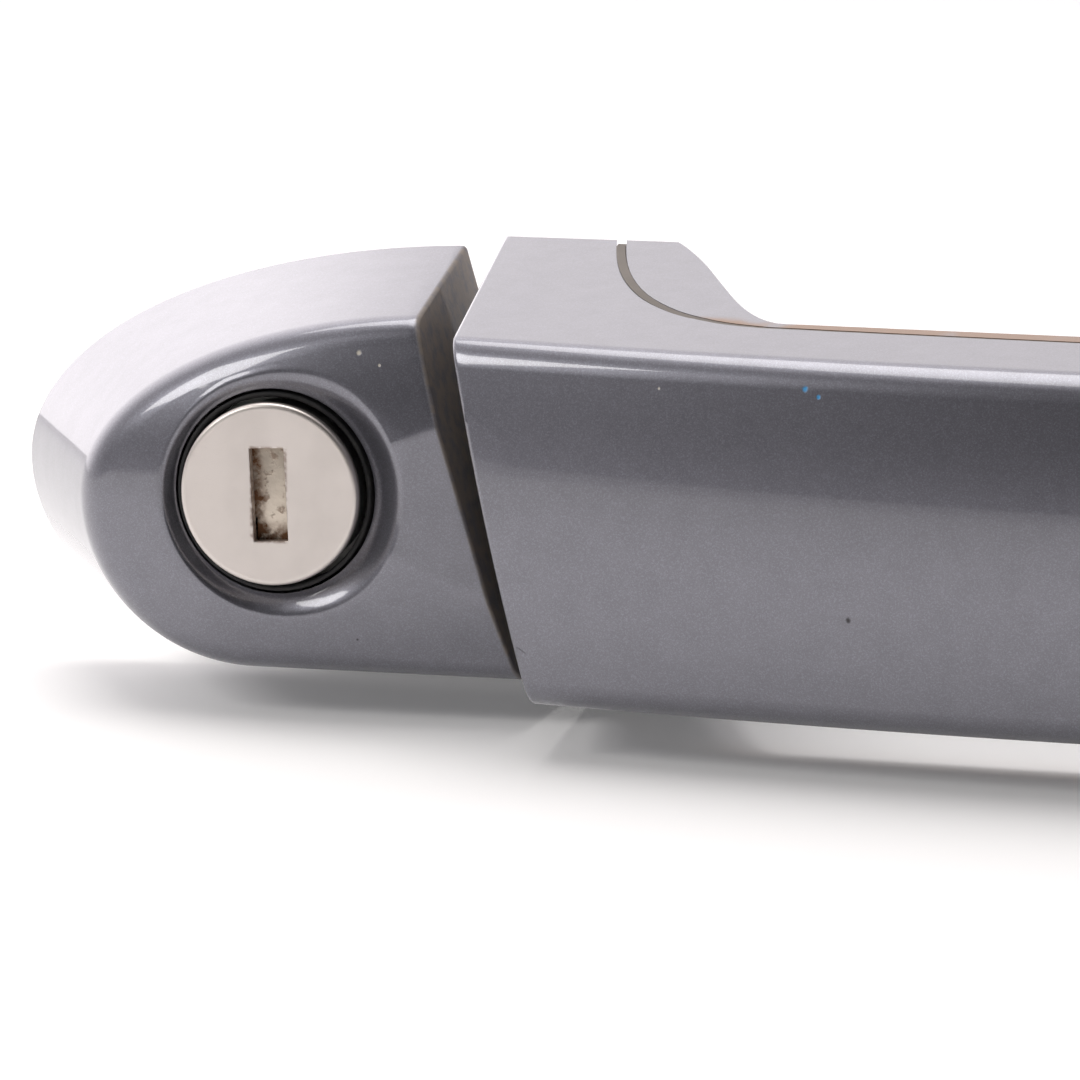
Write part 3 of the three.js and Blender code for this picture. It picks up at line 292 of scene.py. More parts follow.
def modify(piece, kind, **settings):
    """Adds a modifier to a piece and applies it."""
    only(piece)
    modifier = piece.modifiers.new(kind.title(), kind)
    for key, value in settings.items():
        setattr(modifier, key, value)
    bpy.ops.object.modifier_apply(modifier=modifier.name)


def merge_doubles(piece):
    """Closes seams and turns the faces outwards."""
    with editing(piece):
        bpy.ops.mesh.select_all(action="SELECT")
        bpy.ops.mesh.remove_doubles(threshold=0.004 * MM)
        bpy.ops.mesh.normals_make_consistent(inside=False)


def snap_to_plane(piece, place, across):
    """Brings the points beside a cut onto it, so that the cut leaves no slivers."""
    reach = 0.3 * MM
    with editing(piece):
        mesh = bmesh.from_edit_mesh(piece.data)
        for vertex in mesh.verts:
            distance = (vertex.co - place).dot(across)
            if abs(distance) < reach:
                vertex.co -= across * distance
        bmesh.update_edit_mesh(piece.data)


def smooth(piece):
    """Smooth shading that keeps sharp edges, and lets the large faces lead."""
    only(piece)
    bpy.ops.object.shade_smooth_by_angle(angle=math.radians(35))
    modify(piece, "WEIGHTED_NORMAL", mode="FACE_AREA", keep_sharp=True)


def soften(piece, width, segments, degrees):
    """Rounds the edges sharper than an angle."""
    limit = math.radians(degrees)
    modify(
        piece, "BEVEL", width=width, segments=segments, limit_method="ANGLE", angle_limit=limit
    )


def round_edges_by(offset, segments):
    """Rounds the picked edges, in edit mode."""
    bpy.ops.mesh.bevel(offset=offset, segments=segments, profile=0.5, affect="EDGES")


def cut_flat(place, across, **keep):
    """Cuts the whole mesh along a plane, in edit mode."""
    bpy.ops.mesh.select_all(action="SELECT")
    bpy.ops.mesh.bisect(plane_co=place, plane_no=across, threshold=ON_PLANE, **keep)


def places(piece, axis):
    """The places of a grid's vertices along an axis."""
    return sorted({round(v.co[axis], 6) for v in piece.data.vertices})


def at(axis, place):
    """A test for a vertex at a place along an axis."""
    return lambda vertex: abs(vertex.co[axis] - place) < 2e-6


FORM, CUT, GAP = "form side", "cut side", "gap side"


def marked(piece, name):
    """Marks a form's or a cutter's faces, so that they can be told apart once it is cut."""
    mark = bpy.data.materials.get(name) or bpy.data.materials.new(name)
    piece.data.materials.clear()
    piece.data.materials.append(mark)
    return piece


def boolean(piece, cutter, operation):
    """Cuts a piece with another, whose faces bring their marks, and discards the cutter."""
    modify(
        piece,
        "BOOLEAN",
        object=cutter,
        operation=operation,
        solver="EXACT",
        material_mode="TRANSFER",
    )
    bpy.data.objects.remove(cutter)


def open_up(piece, test=None):
    """Deletes the faces that the cutter left, and those that pass a test."""
    names = [mark.name for mark in piece.data.materials]
    with editing(piece, "FACE"):
        pick(piece, "FACE", lambda f: names[f.material_index] == CUT or (test and test(f)))
        bpy.ops.mesh.delete(type="FACE")


def walled(piece, thickness, edge, segments=2):
    """Gives an open sheet its wall, inwards, and rounds the rim."""
    modify(
        piece,
        "SOLIDIFY",
        solidify_mode="NON_MANIFOLD",
        nonmanifold_thickness_mode="FIXED",
        thickness=thickness,
        offset=-1,
        use_rim=True,
    )
    with editing(piece):
        pick(piece, "VERT", lambda v: v.co.y > SKIRT_Y)
        bpy.ops.transform.resize(value=(1, 0, 1), center_override=(0, SKIRT_Y, 0))
    soften(piece, edge, segments, 50)


# ---------------------------------------------------------------- handle shapes

BODY_COLUMNS = 30
NOSE_COLUMNS = 26
FACE_ROWS = 14
BACK_Y = 3 * MM  # the forms are drawn past the skirt, and trimmed there
ASIDE = 3.0  # where a grid waits, clear of the places its columns go to


def rise(share):
    """Rises from 0 to 1 as a quarter ellipse does."""
    return math.sqrt(1 - (1 - min(max(share, 0), 1)) ** 2)


def crease_depth(sizes, x):
    away = x - sizes.peak_x
    span = sizes.peak_x - sizes.left_x if away < 0 else sizes.hinge_span
    drop = sizes.left_drop if away < 0 else sizes.hinge_drop
    return sizes.peak_depth - drop * abs(away / span) ** 2.2


def column_places(sizes):
    """Where the form's sections stand: evenly along the bow, closer together round the nose."""
    start, nose = sizes.left_x - 18 * MM, TIP_X - sizes.nose_length
    body = [start + (nose - start) * i / BODY_COLUMNS for i in range(BODY_COLUMNS)]
    turns = [math.sin(math.pi / 2 * i / NOSE_COLUMNS) for i in range(NOSE_COLUMNS + 1)]
    return body + [nose + sizes.nose_length * turn for turn in turns]


def folded_sheet(sizes, name):
    """One section of the handle, as wide as the grid: crowned face, rounded creases, two sides."""
    sheet = primitive(
        bpy.ops.mesh.primitive_grid_add,
        name,
        x_subdivisions=BODY_COLUMNS + NOSE_COLUMNS,
        y_subdivisions=FACE_ROWS,
        size=2,
        location=(ASIDE, 0, 0),
        rotation=(math.pi / 2, 0, 0),
    )
    rows = places(sheet, 2)
    draft = (SHELL_HIGH.z - sizes.crease_half) / (sizes.peak_depth + SKIRT_Y)
    side = sizes.peak_depth + BACK_Y
    with editing(sheet):
        for row in rows:
            pick(sheet, "VERT", at(2, row))
            depth = sizes.peak_depth + sizes.crown * (1 - row * row)
            bpy.ops.transform.translate(value=(0, -depth, 0))
        bpy.ops.mesh.select_all(action="SELECT")
        bpy.ops.transform.resize(value=(1, 1, sizes.crease_half), center_override=(0, 0, 0))
        for end in (1, -1):
            on_rim = at(2, end * sizes.crease_half)
            pick(sheet, "EDGE", lambda edge, test=on_rim: all(test(v) for v in edge.verts))
            bpy.ops.mesh.extrude_edges_move(
                TRANSFORM_OT_translate={"value": (0, side, end * draft * side)}
            )
        pick(
            sheet,
            "EDGE",
            lambda edge: all(
                abs(abs(v.co.z) - sizes.crease_half) < 2e-6 and v.co.y < -sizes.peak_depth + MM
                for v in edge.verts
            ),
        )
        round_edges_by(sizes.crease_radius, 7)
    return sheet


def left_end(sizes):
    """A point on the left end face, and the way it faces, towards the hinge."""
    start = Vector((sizes.left_x, -crease_depth(sizes, sizes.left_x), 0))
    return start, Vector((1, sizes.lean_depth, sizes.lean_height)).normalized()


def handle_form(sizes, name):
    """The handle's whole outer form, closed: the section drawn along the bow to its tip."""
    form = folded_sheet(sizes, name)
    full = sizes.peak_depth + SKIRT_Y
    with editing(form):
        for column, x in zip(places(form, 0), column_places(sizes), strict=True):
            pick(form, "VERT", at(0, column))
            bpy.ops.transform.translate(value=(x - column, 0, 0))
            from_tip = TIP_X - x
            narrow = max(rise(from_tip / sizes.nose_length), 0.03)
            depth = crease_depth(sizes, x) * rise(from_tip / sizes.nose_round) + SKIRT_Y
            bpy.ops.transform.resize(
                value=(1, max(depth / full, 0.01), narrow), center_override=(x, SKIRT_Y, 0)
            )
        pick(form, "VERT", lambda v: v.co.x > TIP_X - 1e-6)
        bpy.ops.mesh.merge(type="CENTER")
        pick(
            form,
            "EDGE",
            lambda e: e.is_boundary
            and min(v.co.y for v in e.verts) > SKIRT_Y - 1e-5
            and abs(e.verts[0].co.x - e.verts[1].co.x) > 1e-6,
        )
        bpy.ops.mesh.bridge_edge_loops()
        pick(form, "EDGE", lambda e: e.is_boundary)
        bpy.ops.mesh.edge_face_add()
        cut_flat(*left_end(sizes), use_fill=True, clear_inner=True)
        cut_flat((0, SKIRT_Y, 0), (0, 1, 0), use_fill=True, clear_outer=True)
    merge_doubles(form)
    return form


class BridgeLine:
    """A line over the legs and along the grip, seen along Z."""

    def __init__(self, sizes, *, leg, hinge, foot, shoulder, run, below_crease):
        """Millimetres from the handle's ends and from the crease, there and at the bow."""
        self.left = sizes.left_x + leg * MM
        self.right = TIP_X - hinge * MM
        self.foot = [size * MM for size in foot]
        self.shoulder = [size * MM for size in shoulder]
        self.run = run * MM
        self.depth, self.peak = [sizes.peak_depth - size * MM for size in below_crease]
        self.peak_x = sizes.peak_x

    def moved(self, at_legs, along_top):
        """The same line further out, by one distance at the legs and one along the top."""
        copy = BridgeLine.__new__(BridgeLine)
        copy.__dict__.update(self.__dict__)
        copy.left, copy.right = self.left - at_legs, self.right + at_legs
        copy.depth, copy.peak = self.depth + along_top, self.peak + along_top
        return copy

    def knots(self):
        """Bezier knots from leg to leg: each one's place, its handle before and its handle after."""
        back = 60 * MM
        x, y = self.foot[0], -self.foot[1]
        over, drop = self.shoulder[0], self.shoulder[1] - self.depth
        left, right = self.left + self.run, self.right - self.run
        control = self.depth - 2 * self.peak
        third = [(2 * self.peak_x + edge) / 3 for edge in (left, right)]
        lift = (2 * control - self.depth) / 3
        return [
            ((self.left, back), None, None),
            ((self.left, 0), None, (self.left + x, y)),
            ((left, -self.depth), (left - over, drop), (third[0], lift)),
            ((right, -self.depth), (third[1], lift), (right + over, drop)),
            ((self.right, 0), (self.right - x, y), None),
            ((self.right, back), None, None),
        ]


def seam_line(sizes):
    """Where the two shells meet."""
    return BridgeLine(
        sizes,
        leg=3.1,
        hinge=38.5,
        foot=(3.8, 21.0),
        shoulder=(11.0, 1.8),
        run=22.0,
        below_crease=(14.9, 12.0),
    )


def grip_line(sizes):
    """The wall round the finger gap."""
    return BridgeLine(
        sizes,
        leg=12.6,
        hinge=47.8,
        foot=(7.0, 5.5),
        shoulder=(7.5, 0.6),
        run=19.0,
        below_crease=(17.2, 15.0),
    )


def bridge_face(line, name, height):
    """The flat region behind a bridge-shaped line, drawn as a closed curve and filled."""
    deselect()
    bpy.ops.curve.primitive_bezier_curve_add()
    curve = bpy.context.active_object
    curve.name = name
    spline = curve.data.splines[0]
    knots = line.knots()
    spline.bezier_points.add(len(knots) - len(spline.bezier_points))
    spline.use_cyclic_u = True
    spline.resolution_u = 20
    for point, (place, before, after) in zip(spline.bezier_points, knots, strict=True):
        point.co = (*place, height)
        point.handle_left_type = "FREE" if before else "VECTOR"
        point.handle_right_type = "FREE" if after else "VECTOR"
        if before:
            point.handle_left = (*before, height)
        if after:
            point.handle_right = (*after, height)
    bpy.ops.object.convert(target="MESH")
    face = bpy.context.active_object
    with editing(face, "EDGE"):
        bpy.ops.mesh.select_all(action="SELECT")
        bpy.ops.mesh.remove_doubles(threshold=0.01 * MM)
        bpy.ops.mesh.select_all(action="SELECT")
        bpy.ops.mesh.edge_face_add()
    return face


def extrude_up(distance):
    bpy.ops.mesh.extrude_region_move(TRANSFORM_OT_translate={"value": (0, 0, distance)})


def bridge_block(line, name):
    """Everything behind a bridge-shaped line, from below the handle to above it."""
    half = 40 * MM
    block = bridge_face(line, name, -half)
    with editing(block, "FACE"):
        bpy.ops.mesh.select_all(action="SELECT")
        extrude_up(2 * half)
    merge_doubles(block)
    return block


def finger_gap(sizes, name):
    """The finger gap: its mouths flare towards the top and the bottom."""
    high = SHELL_HIGH.z - sizes.flare_from
    steps = [share / 10 for share in range(13)]
    shares = [-share for share in reversed(steps)] + steps
    heights = [math.copysign(sizes.flare_from + high * abs(share), share or 1) for share in shares]
    heights[len(steps) - 1] = -sizes.flare_from
    line = grip_line(sizes)
    rolls = [1 - math.sqrt(1 - min(abs(share) / 1.2, 1) ** 2) for share in shares]
    widest = line.moved(sizes.leg_flare * rolls[0], sizes.flare * rolls[0])
    gap = bridge_face(widest, name, heights[0])
    middle = (line.left + line.right) / 2
    width = [(line.right - line.left) / 2 + sizes.leg_flare * roll for roll in rolls]
    depth = [line.depth + sizes.flare * roll for roll in rolls]
    with editing(gap, "FACE"):
        bpy.ops.mesh.select_all(action="SELECT")
        for i in range(1, len(shares)):
            extrude_up(heights[i] - heights[i - 1])
            bpy.ops.transform.resize(
                value=(width[i] / width[i - 1], depth[i] / depth[i - 1], 1),
                center_override=(middle, 0, 0),
            )
    merge_doubles(gap)
    return gap


def round_end(form, sizes):
    """Rounds the edge of the left end face."""
    start, across = left_end(sizes)

    def on_end(vertex):
        return abs((vertex.co - start).dot(across)) < 5e-6

    with editing(form, "EDGE"):
        pick(form, "VERT", on_end)
        bpy.ops.mesh.remove_doubles(threshold=0.12 * MM)
        pick(
            form,
            "EDGE",
            lambda edge: all(on_end(v) for v in edge.verts)
            and min(v.co.y for v in edge.verts) < SKIRT_Y - ON_PLANE,
        )
        round_edges_by(sizes.end_radius, 3)


def in_skirt(face):
    return face.calc_center_median().y > SKIRT_Y - 1e-5 and face.normal.y > 0.9


def outer_shell(sizes, name):
    """The painted shell that faces out: the form down to the seam, hollow behind."""
    shell = marked(handle_form(sizes, name), FORM)
    round_end(shell, sizes)
    boolean(shell, marked(bridge_block(seam_line(sizes), "seam_cut"), CUT), "DIFFERENCE")
    open_up(shell, in_skirt)
    walled(shell, sizes.wall, sizes.seam_edge)
    smooth(shell)
    return shell


def inner_shell(sizes, name):
    """The painted shell round the finger gap, a narrow groove away from the outer one."""
    shell = marked(handle_form(sizes, name), FORM)
    inside = seam_line(sizes).moved(-sizes.groove_leg, -sizes.groove_top)
    boolean(shell, marked(bridge_block(inside, "seam_cut"), CUT), "INTERSECT")
    boolean(shell, marked(finger_gap(sizes, "gap_cut"), GAP), "DIFFERENCE")
    names = [mark.name for mark in shell.data.materials]

    def round_the_grip(edge):
        marks = {names[face.material_index] for face in edge.link_faces}
        return marks == {FORM, GAP} and not any(in_skirt(face) for face in edge.link_faces)

    with editing(shell, "EDGE"):
        pick(shell, "EDGE", round_the_grip)
        bpy.ops.mesh.bevel(
            offset=sizes.grip_radius, segments=4, profile=0.5, affect="EDGES", clamp_overlap=True
        )
    open_up(shell, in_skirt)
    walled(shell, sizes.inner_wall, sizes.seam_edge)
    smooth(shell)
    return shell


def seam_strip(sizes, name):
    """The strip that fills the foot of the groove between the two shells."""
    strip = marked(handle_form(sizes, name), FORM)
    with editing(strip):
        bpy.ops.mesh.select_all(action="SELECT")
        bpy.ops.transform.shrink_fatten(value=-sizes.groove_depth)
    clear = 0.03 * MM
    outside = seam_line(sizes).moved(-clear, -clear)
    inside = seam_line(sizes).moved(clear - sizes.groove_leg, clear - sizes.groove_top)
    boolean(strip, marked(bridge_block(outside, "seam_cut"), CUT), "INTERSECT")
    boolean(strip, marked(bridge_block(inside, "seam_cut"), CUT), "DIFFERENCE")
    foot = SKIRT_Y - sizes.groove_depth - 0.1 * MM
    open_up(strip, lambda face: face.calc_center_median().y > foot and face.normal.y > 0.9)
    walled(strip, 1.0 * MM, 0.02 * MM, 1)
    smooth(strip)
    return strip


# ---------------------------------------------------------------- cap and lock shapes


def drawn_out(name, rings):
    """A sheet drawn out from a circle ring by ring. Each ring is a list of points, in one order."""
    circle = bpy.ops.mesh.primitive_circle_add
    sheet = primitive(circle, name, vertices=len(rings[0]), radius=1, fill_type="NOTHING")
    with editing(sheet):
        bpy.ops.mesh.select_all(action="SELECT")
        mesh = bmesh.from_edit_mesh(sheet.data)
        ring_now = sorted(mesh.verts, key=lambda v: v.index)
        for vertex, point in zip(ring_now, rings[0], strict=True):
            vertex.co = point
        for before, after in zip(rings, rings[1:], strict=False):
            bpy.ops.mesh.extrude_edges_move(TRANSFORM_OT_translate={"value": (0, 0, 0)})
            mesh = bmesh.from_edit_mesh(sheet.data)
            drawn = [v for v in mesh.verts if v.select]
            order = {tuple(round(c, 6) for c in Vector(point)): i for i, point in enumerate(before)}
            for vertex in drawn:
                vertex.co = after[order[tuple(round(c, 6) for c in vertex.co)]]
            bmesh.update_edit_mesh(sheet.data)
    return sheet


def circle_points(radius, y, steps):
    """A ring round the lock's axis."""
    turns = [2 * math.pi * i / steps for i in range(steps)]
    return [(LOCK_X + radius * math.cos(t), y, radius * math.sin(t)) for t in turns]


def mix(a, b, share):
    return a + (b - a) * share


ARC_STEPS, TOP_STEPS, BOTTOM_STEPS, END_STEPS = 38, 6, 16, 22
PAST_END = 14 * MM  # how far the cap is drawn past its end face, before it is cut there


def cap_outline(sizes, share, inset=0.0):
    """The cap's D-shaped outline as [x, z] points, share 0 at the skin and 1 at the crease."""
    tip = LOCK_X - mix(*sizes.tip, share) + inset
    end = LOCK_X + sizes.end_x + PAST_END
    turns = [math.pi / 2 * i / ARC_STEPS for i in range(ARC_STEPS + 1)]

    def arc(height, reach):
        nose = -sizes.nose_drop
        return [(tip + reach * (1 - math.sin(t)), nose + height * math.cos(t)) for t in turns]

    top = arc(mix(*sizes.top, share) - inset, mix(*sizes.top_reach, share) - inset)
    bottom = arc(inset - mix(*sizes.bottom, share), mix(*sizes.bottom_reach, share) - inset)

    def straight(a, b, steps):
        return [(mix(a[0], b[0], i / steps), mix(a[1], b[1], i / steps)) for i in range(steps)]

    corner_top, corner_bottom = (end, top[0][1]), (end, bottom[0][1])
    return (
        straight(corner_top, top[0], TOP_STEPS)
        + top[:-1]
        + bottom[:0:-1]
        + straight(bottom[0], corner_bottom, BOTTOM_STEPS)
        + straight(corner_bottom, corner_top, END_STEPS)
    )


def cap_rings(sizes):
    """Rings from behind the skirt over the crease and the crowned face, down dish and bore."""
    back = [(x, BACK_Y, z) for x, z in cap_outline(sizes, 0)]
    skin_y = -2 * MM

    def wall(share):
        return [(x, mix(skin_y, -sizes.depth, share), z) for x, z in cap_outline(sizes, share)]

    corner = wall(1)
    start = 1 - sizes.crease_radius / (sizes.depth + skin_y)
    centre = Vector((LOCK_X + sizes.dish_shift, 0, 0))

    def flat(point):
        return Vector((point[0], 0, point[2]))

    def face_point(point, edge):
        share = (flat(point) - centre).length / (flat(edge) - centre).length
        return (point[0], -sizes.depth - sizes.crown * (1 - share * share), point[2])

    inner = [
        face_point((x, 0, z), edge)
        for (x, z), edge in zip(cap_outline(sizes, 1, sizes.crease_radius), corner, strict=True)
    ]
    rings = [back] + [wall(start * i / 4) for i in range(5)]
    for i in range(1, 8):
        t = i / 8
        rings.append([
            tuple(Vector(a) * (1 - t) ** 2 + Vector(b) * 2 * t * (1 - t) + Vector(c) * t * t)
            for a, b, c in zip(wall(start), corner, inner, strict=True)
        ])
    rim = []
    for p in inner:
        out = flat(p) - centre
        radius = min(sizes.dish_radius, out.length - 0.35 * MM)  # never past the crease
        rim.append(tuple(centre + out.normalized() * radius))
    steps = 12
    for i in range(steps + 1):
        t = i / steps
        rings.append([
            face_point(tuple(flat(a).lerp(Vector(b), t)), edge)
            for a, b, edge in zip(inner, rim, corner, strict=True)
        ])
    lip_y = sum(point[1] for point in rings[-1]) / len(rings[-1])
    bore, floor = RING_HIGH.x - LOCK_X + 0.3 * MM, RING_LOW.y + sizes.dish_depth
    axis = Vector((LOCK_X, 0, 0))
    fall = 9
    for i in range(1, fall + 1):
        t = i / fall
        drop = t * t * (3 - 2 * t)
        ring = []
        for p, lip in zip(inner, rings[-i], strict=True):
            bottom = axis + (flat(p) - axis).normalized() * bore
            place = flat(lip).lerp(bottom, t)
            ring.append((place.x, mix(mix(lip[1], lip_y, t), floor, drop), place.z))
        rings.append(ring)
    for y in (floor + 0.8 * MM, -12 * MM):
        rings.append([(x, y, z) for x, _, z in rings[-1]])
    return rings


def lock_cap(sizes, name):
    """The painted cap: a crowned D-shaped shell with a dish and a collar round the lock."""
    rings = cap_rings(sizes)
    cap = drawn_out(name, rings)
    with editing(cap, "EDGE"):
        pick(cap, "EDGE", lambda e: e.is_boundary and e.verts[0].co.y > BACK_Y - 1e-6)
        bpy.ops.mesh.edge_face_add()
    merge_doubles(cap)
    place = Vector((LOCK_X + sizes.end_x, 0, 0))
    across = Vector((1, 0, sizes.end_lean)).normalized()
    snap_to_plane(cap, place, across)
    with editing(cap, "EDGE"):
        cut_flat(place, across, use_fill=True, clear_outer=True)
        bpy.ops.mesh.select_all(action="SELECT")
        bpy.ops.mesh.normals_make_consistent(inside=False)
        pick(
            cap,
            "EDGE",
            lambda e: all(abs((v.co - place).dot(across)) < 5e-6 for v in e.verts)
            and min(v.co.y for v in e.verts) < BACK_Y - 1e-5,
        )
        round_edges_by(sizes.end_radius, 3)
        cut_flat((0, CAP_HIGH.y, 0), (0, 1, 0), clear_outer=True)
    walled(cap, sizes.wall, sizes.rim_radius)
    smooth(cap)
    return cap


def face_plate(sizes, name):
    """The satin plate on the plug, with its key slot."""
    radius, thick = (FACE_HIGH.x - FACE_LOW.x) / 2 + sizes.face_margin, FACE_HIGH.y - FACE_LOW.y
    middle = (FACE_LOW.y + FACE_HIGH.y) / 2
    plate = primitive(
        bpy.ops.mesh.primitive_cylinder_add,
        name,
        vertices=128,
        radius=radius,
        depth=thick,
        location=(LOCK_X, middle, 0),
        rotation=(math.pi / 2, 0, 0),
    )
    with editing(plate, "EDGE"):
        pick(plate, "EDGE", lambda e: all(v.co.y < FACE_LOW.y + 1e-6 for v in e.verts))
        bpy.ops.mesh.bevel(offset=sizes.face_edge, segments=5, profile=0.6, affect="EDGES")
    slot = primitive(
        bpy.ops.mesh.primitive_cube_add,
        "slot_cut",
        size=1,
        location=(LOCK_X, middle, 0),
        rotation=(0, -sizes.slot_lean, 0),
        scale=(sizes.slot_width, 4 * thick, sizes.slot_height),
    )
    boolean(plate, slot, "DIFFERENCE")
    soften(plate, sizes.slot_edge, 2, 60)
    smooth(plate)
    return plate


def seal(sizes, name):
    """The black ring round the face plate, its front lip rounded."""
    outer = (RING_HIGH.x - RING_LOW.x) / 2
    inner = outer - sizes.seal_wall
    front, back = RING_LOW.y, RING_HIGH.y
    lip = [(math.cos(math.pi * i / 6), math.sin(math.pi * i / 6)) for i in range(7)]
    half, middle = (outer - inner) / 2, (outer + inner) / 2
    profile = [(outer, back)]
    profile += [(middle + half * u, front + half * (1 - v)) for u, v in lip]
    profile += [(inner, back), (outer, back)]
    ring = drawn_out(name, [circle_points(radius, y, 96) for radius, y in profile])
    merge_doubles(ring)
    smooth(ring)
    return ring


# ---------------------------------------------------------------- shader helpers


class Wire:
    """A shader socket that takes part in arithmetic: each expression adds its Math nodes."""

    def __init__(self, recipe, socket):
        self.recipe = recipe
        self.socket = socket

    def _math(self, operation, *terms):
        return self.recipe.node("ShaderNodeMath", {"operation": operation}, terms)

    def __add__(self, other):
        return self._math("ADD", self, other)

    def __sub__(self, other):
        return self._math("SUBTRACT", self, other)

    def __rsub__(self, other):
        return self._math("SUBTRACT", other, self)

    def __mul__(self, other):
        return self._math("MULTIPLY", self, other)

    def __pow__(self, other):
        return self._math("POWER", self, other)

    def __neg__(self):
        return self._math("MULTIPLY", self, -1.0)

    __radd__ = __add__
    __rmul__ = __mul__

    def size(self):
        return self._math("ABSOLUTE", self)

    def clamped(self):
        return self.recipe.node("ShaderNodeClamp", {}, {"Value": self}, "Result")

    def over(self, start, end):
        """0 up to start, 1 from end on, smooth between. Start may be the larger."""
        low, high, turned = (start, end, False) if start < end else (end, start, True)
        made = self.recipe.node(
            "ShaderNodeMapRange",
            {"interpolation_type": "SMOOTHSTEP"},
            {"Value": self, "From Min": low, "From Max": high},
            "Result",
        )
        return 1 - made if turned else made


class Recipe:
    """A material made of nodes, read in the piece's own coordinates, in millimetres."""

    def __init__(self, name, **uniform):
        self.material = bpy.data.materials.new(name)
        self.material.use_nodes = True
        self.nodes = self.material.node_tree.nodes
        self.links = self.material.node_tree.links
        self.shader = self.nodes["Principled BSDF"]
        for key, value in uniform.items():
            label = key.replace("_", " ").title().replace("Ior", "IOR")
            self.shader.inputs[label].default_value = value
        coordinates = self.nodes.new("ShaderNodeTexCoord")
        self.place = self.node(
            "ShaderNodeVectorMath",
            {"operation": "SCALE"},
            {0: Wire(self, coordinates.outputs["Object"]), "Scale": 1 / MM},
        )
        split = self.nodes.new("ShaderNodeSeparateXYZ")
        self.links.new(self.place.socket, split.inputs[0])
        self.x, self.y, self.z = (Wire(self, split.outputs[axis]) for axis in "XYZ")

    def node(self, kind, settings, inputs, output=0):
        """Adds a node: its settings first, then its sockets' values or links."""
        node = self.nodes.new(kind)
        for key, value in settings.items():
            setattr(node, key, value)
        pairs = inputs.items() if isinstance(inputs, dict) else enumerate(inputs)
        for key, value in pairs:
            if isinstance(value, Wire):
                self.links.new(value.socket, node.inputs[key])
            else:
                node.inputs[key].default_value = value
        return Wire(self, node.outputs[output])

    def noise(self, scale, detail=2.0, roughness=0.5, stretch=(1, 1, 1)):
        """Noise from 0 to 1. Scale is in turns per millimetre."""
        place = self.node("ShaderNodeMapping", {}, {"Vector": self.place, "Scale": stretch})
        return self.node(
            "ShaderNodeTexNoise",
            {},
            {"Vector": place, "Scale": scale, "Detail": detail, "Roughness": roughness},
            "Fac",
        )

    def cells(self, scale, output="Distance"):
        """Distance to the nearest of scattered points."""
        return self.node("ShaderNodeTexVoronoi", {}, {"Vector": self.place, "Scale": scale}, output)

    def cell_random(self, scale):
        """A random number for each cell."""
        shade = self.cells(scale, "Color")
        return self.node("ShaderNodeSeparateColor", {}, {0: shade}, "Red")

    def blend(self, share, a, b):
        """One colour over another."""
        a, b = (value if isinstance(value, Wire) else (*value, 1.0) for value in (a, b))
        return self.node("ShaderNodeMix", {"data_type": "RGBA"}, {0: share, 6: a, 7: b}, 2)

    def spot(self, x, z, radius):
        """A ragged mask round a place on a face seen along Y, in millimetres."""
        across, up = self.x - x, self.z - z
        far = (across * across + up * up) ** 0.5 + self.noise(3.0, 3.0) * radius * 0.5
        return far.over(radius, radius * 0.4)

    def bump(self, height):
        """A bump whose height is in millimetres."""
        return self.node("ShaderNodeBump", {}, {"Strength": 1.0, "Distance": MM, "Height": height})

    def finish(self, **sockets):
        for key, value in sockets.items():
            self.links.new(value.socket, self.shader.inputs[key.replace("_", " ").title()])
        return self.material


# ---------------------------------------------------------------- finishes


def shaded(colour_now, share):
    return [min(part * share, 1) for part in colour_now]


def metallic_paint(colours, name, marks=(), overlay=None):
    """Graphite metallic under clear coat: flake, mottle, orange peel, dust and the marks given."""
    r = Recipe(name, metallic=0.82, coat_roughness=0.05, coat_ior=1.5)
    sparkle = r.cell_random(9.0)
    fine = r.cell_random(15.0)
    mottle = r.noise(0.35, 3.0)
    base = r.blend(mottle.over(0.3, 0.75) * 0.35, colours.paint, shaded(colours.paint, 0.8))
    base = r.blend(sparkle.over(0.55, 1.0) * 0.16, base, colours.flake)
    base = r.blend(fine.over(0.6, 1.0) * 0.12, base, colours.flake)
    dust = r.noise(2.2, 4.0, 0.65).over(0.66, 0.74) * r.noise(0.09, 2.0).over(0.45, 0.65)
    base = r.blend(dust * 0.25, base, colours.grime)
    rough = 0.33 + sparkle * 0.04 + dust * 0.25 + mottle * 0.05
    coat = 1 - dust * 0.5
    height = r.noise(0.28, 2.0) * 0.012 + r.noise(1.1, 2.0) * 0.0022
    if overlay:
        base, rough, coat, height = overlay(r, base, rough, coat, height)
    for x, z, radius, shade, depth in marks:
        mask = r.spot(x, z, radius)
        base = r.blend(mask * 0.85, base, shade)
        rough = rough + mask * 0.25
        coat = coat * (1 - mask * 0.8)
        height = height - mask * depth
    normal = r.bump(height)
    return r.finish(base_color=base, roughness=rough, coat_weight=coat.clamped(), normal=normal)


def cap_paint(colours, sizes):
    """The cap's paint: dirt dried on the end wall."""

    def overlay(r, base, rough, coat, height):
        end = r.x - (LOCK_X + sizes.end_x) / MM + r.z * sizes.end_lean
        on_end = end.over(-0.55, -0.1)
        blotch = r.noise(0.55, 4.0, 0.6).over(0.35, 0.6)
        base = r.blend(on_end * (0.35 + blotch * 0.6), base, colours.grime)
        rough = rough + on_end * 0.35
        coat = coat * (1 - on_end * 0.8)
        return base, rough, coat, height + on_end * r.noise(1.4, 4.0) * 0.03

    return metallic_paint(colours, "graphite_paint_cap", CAP_MARKS, overlay)


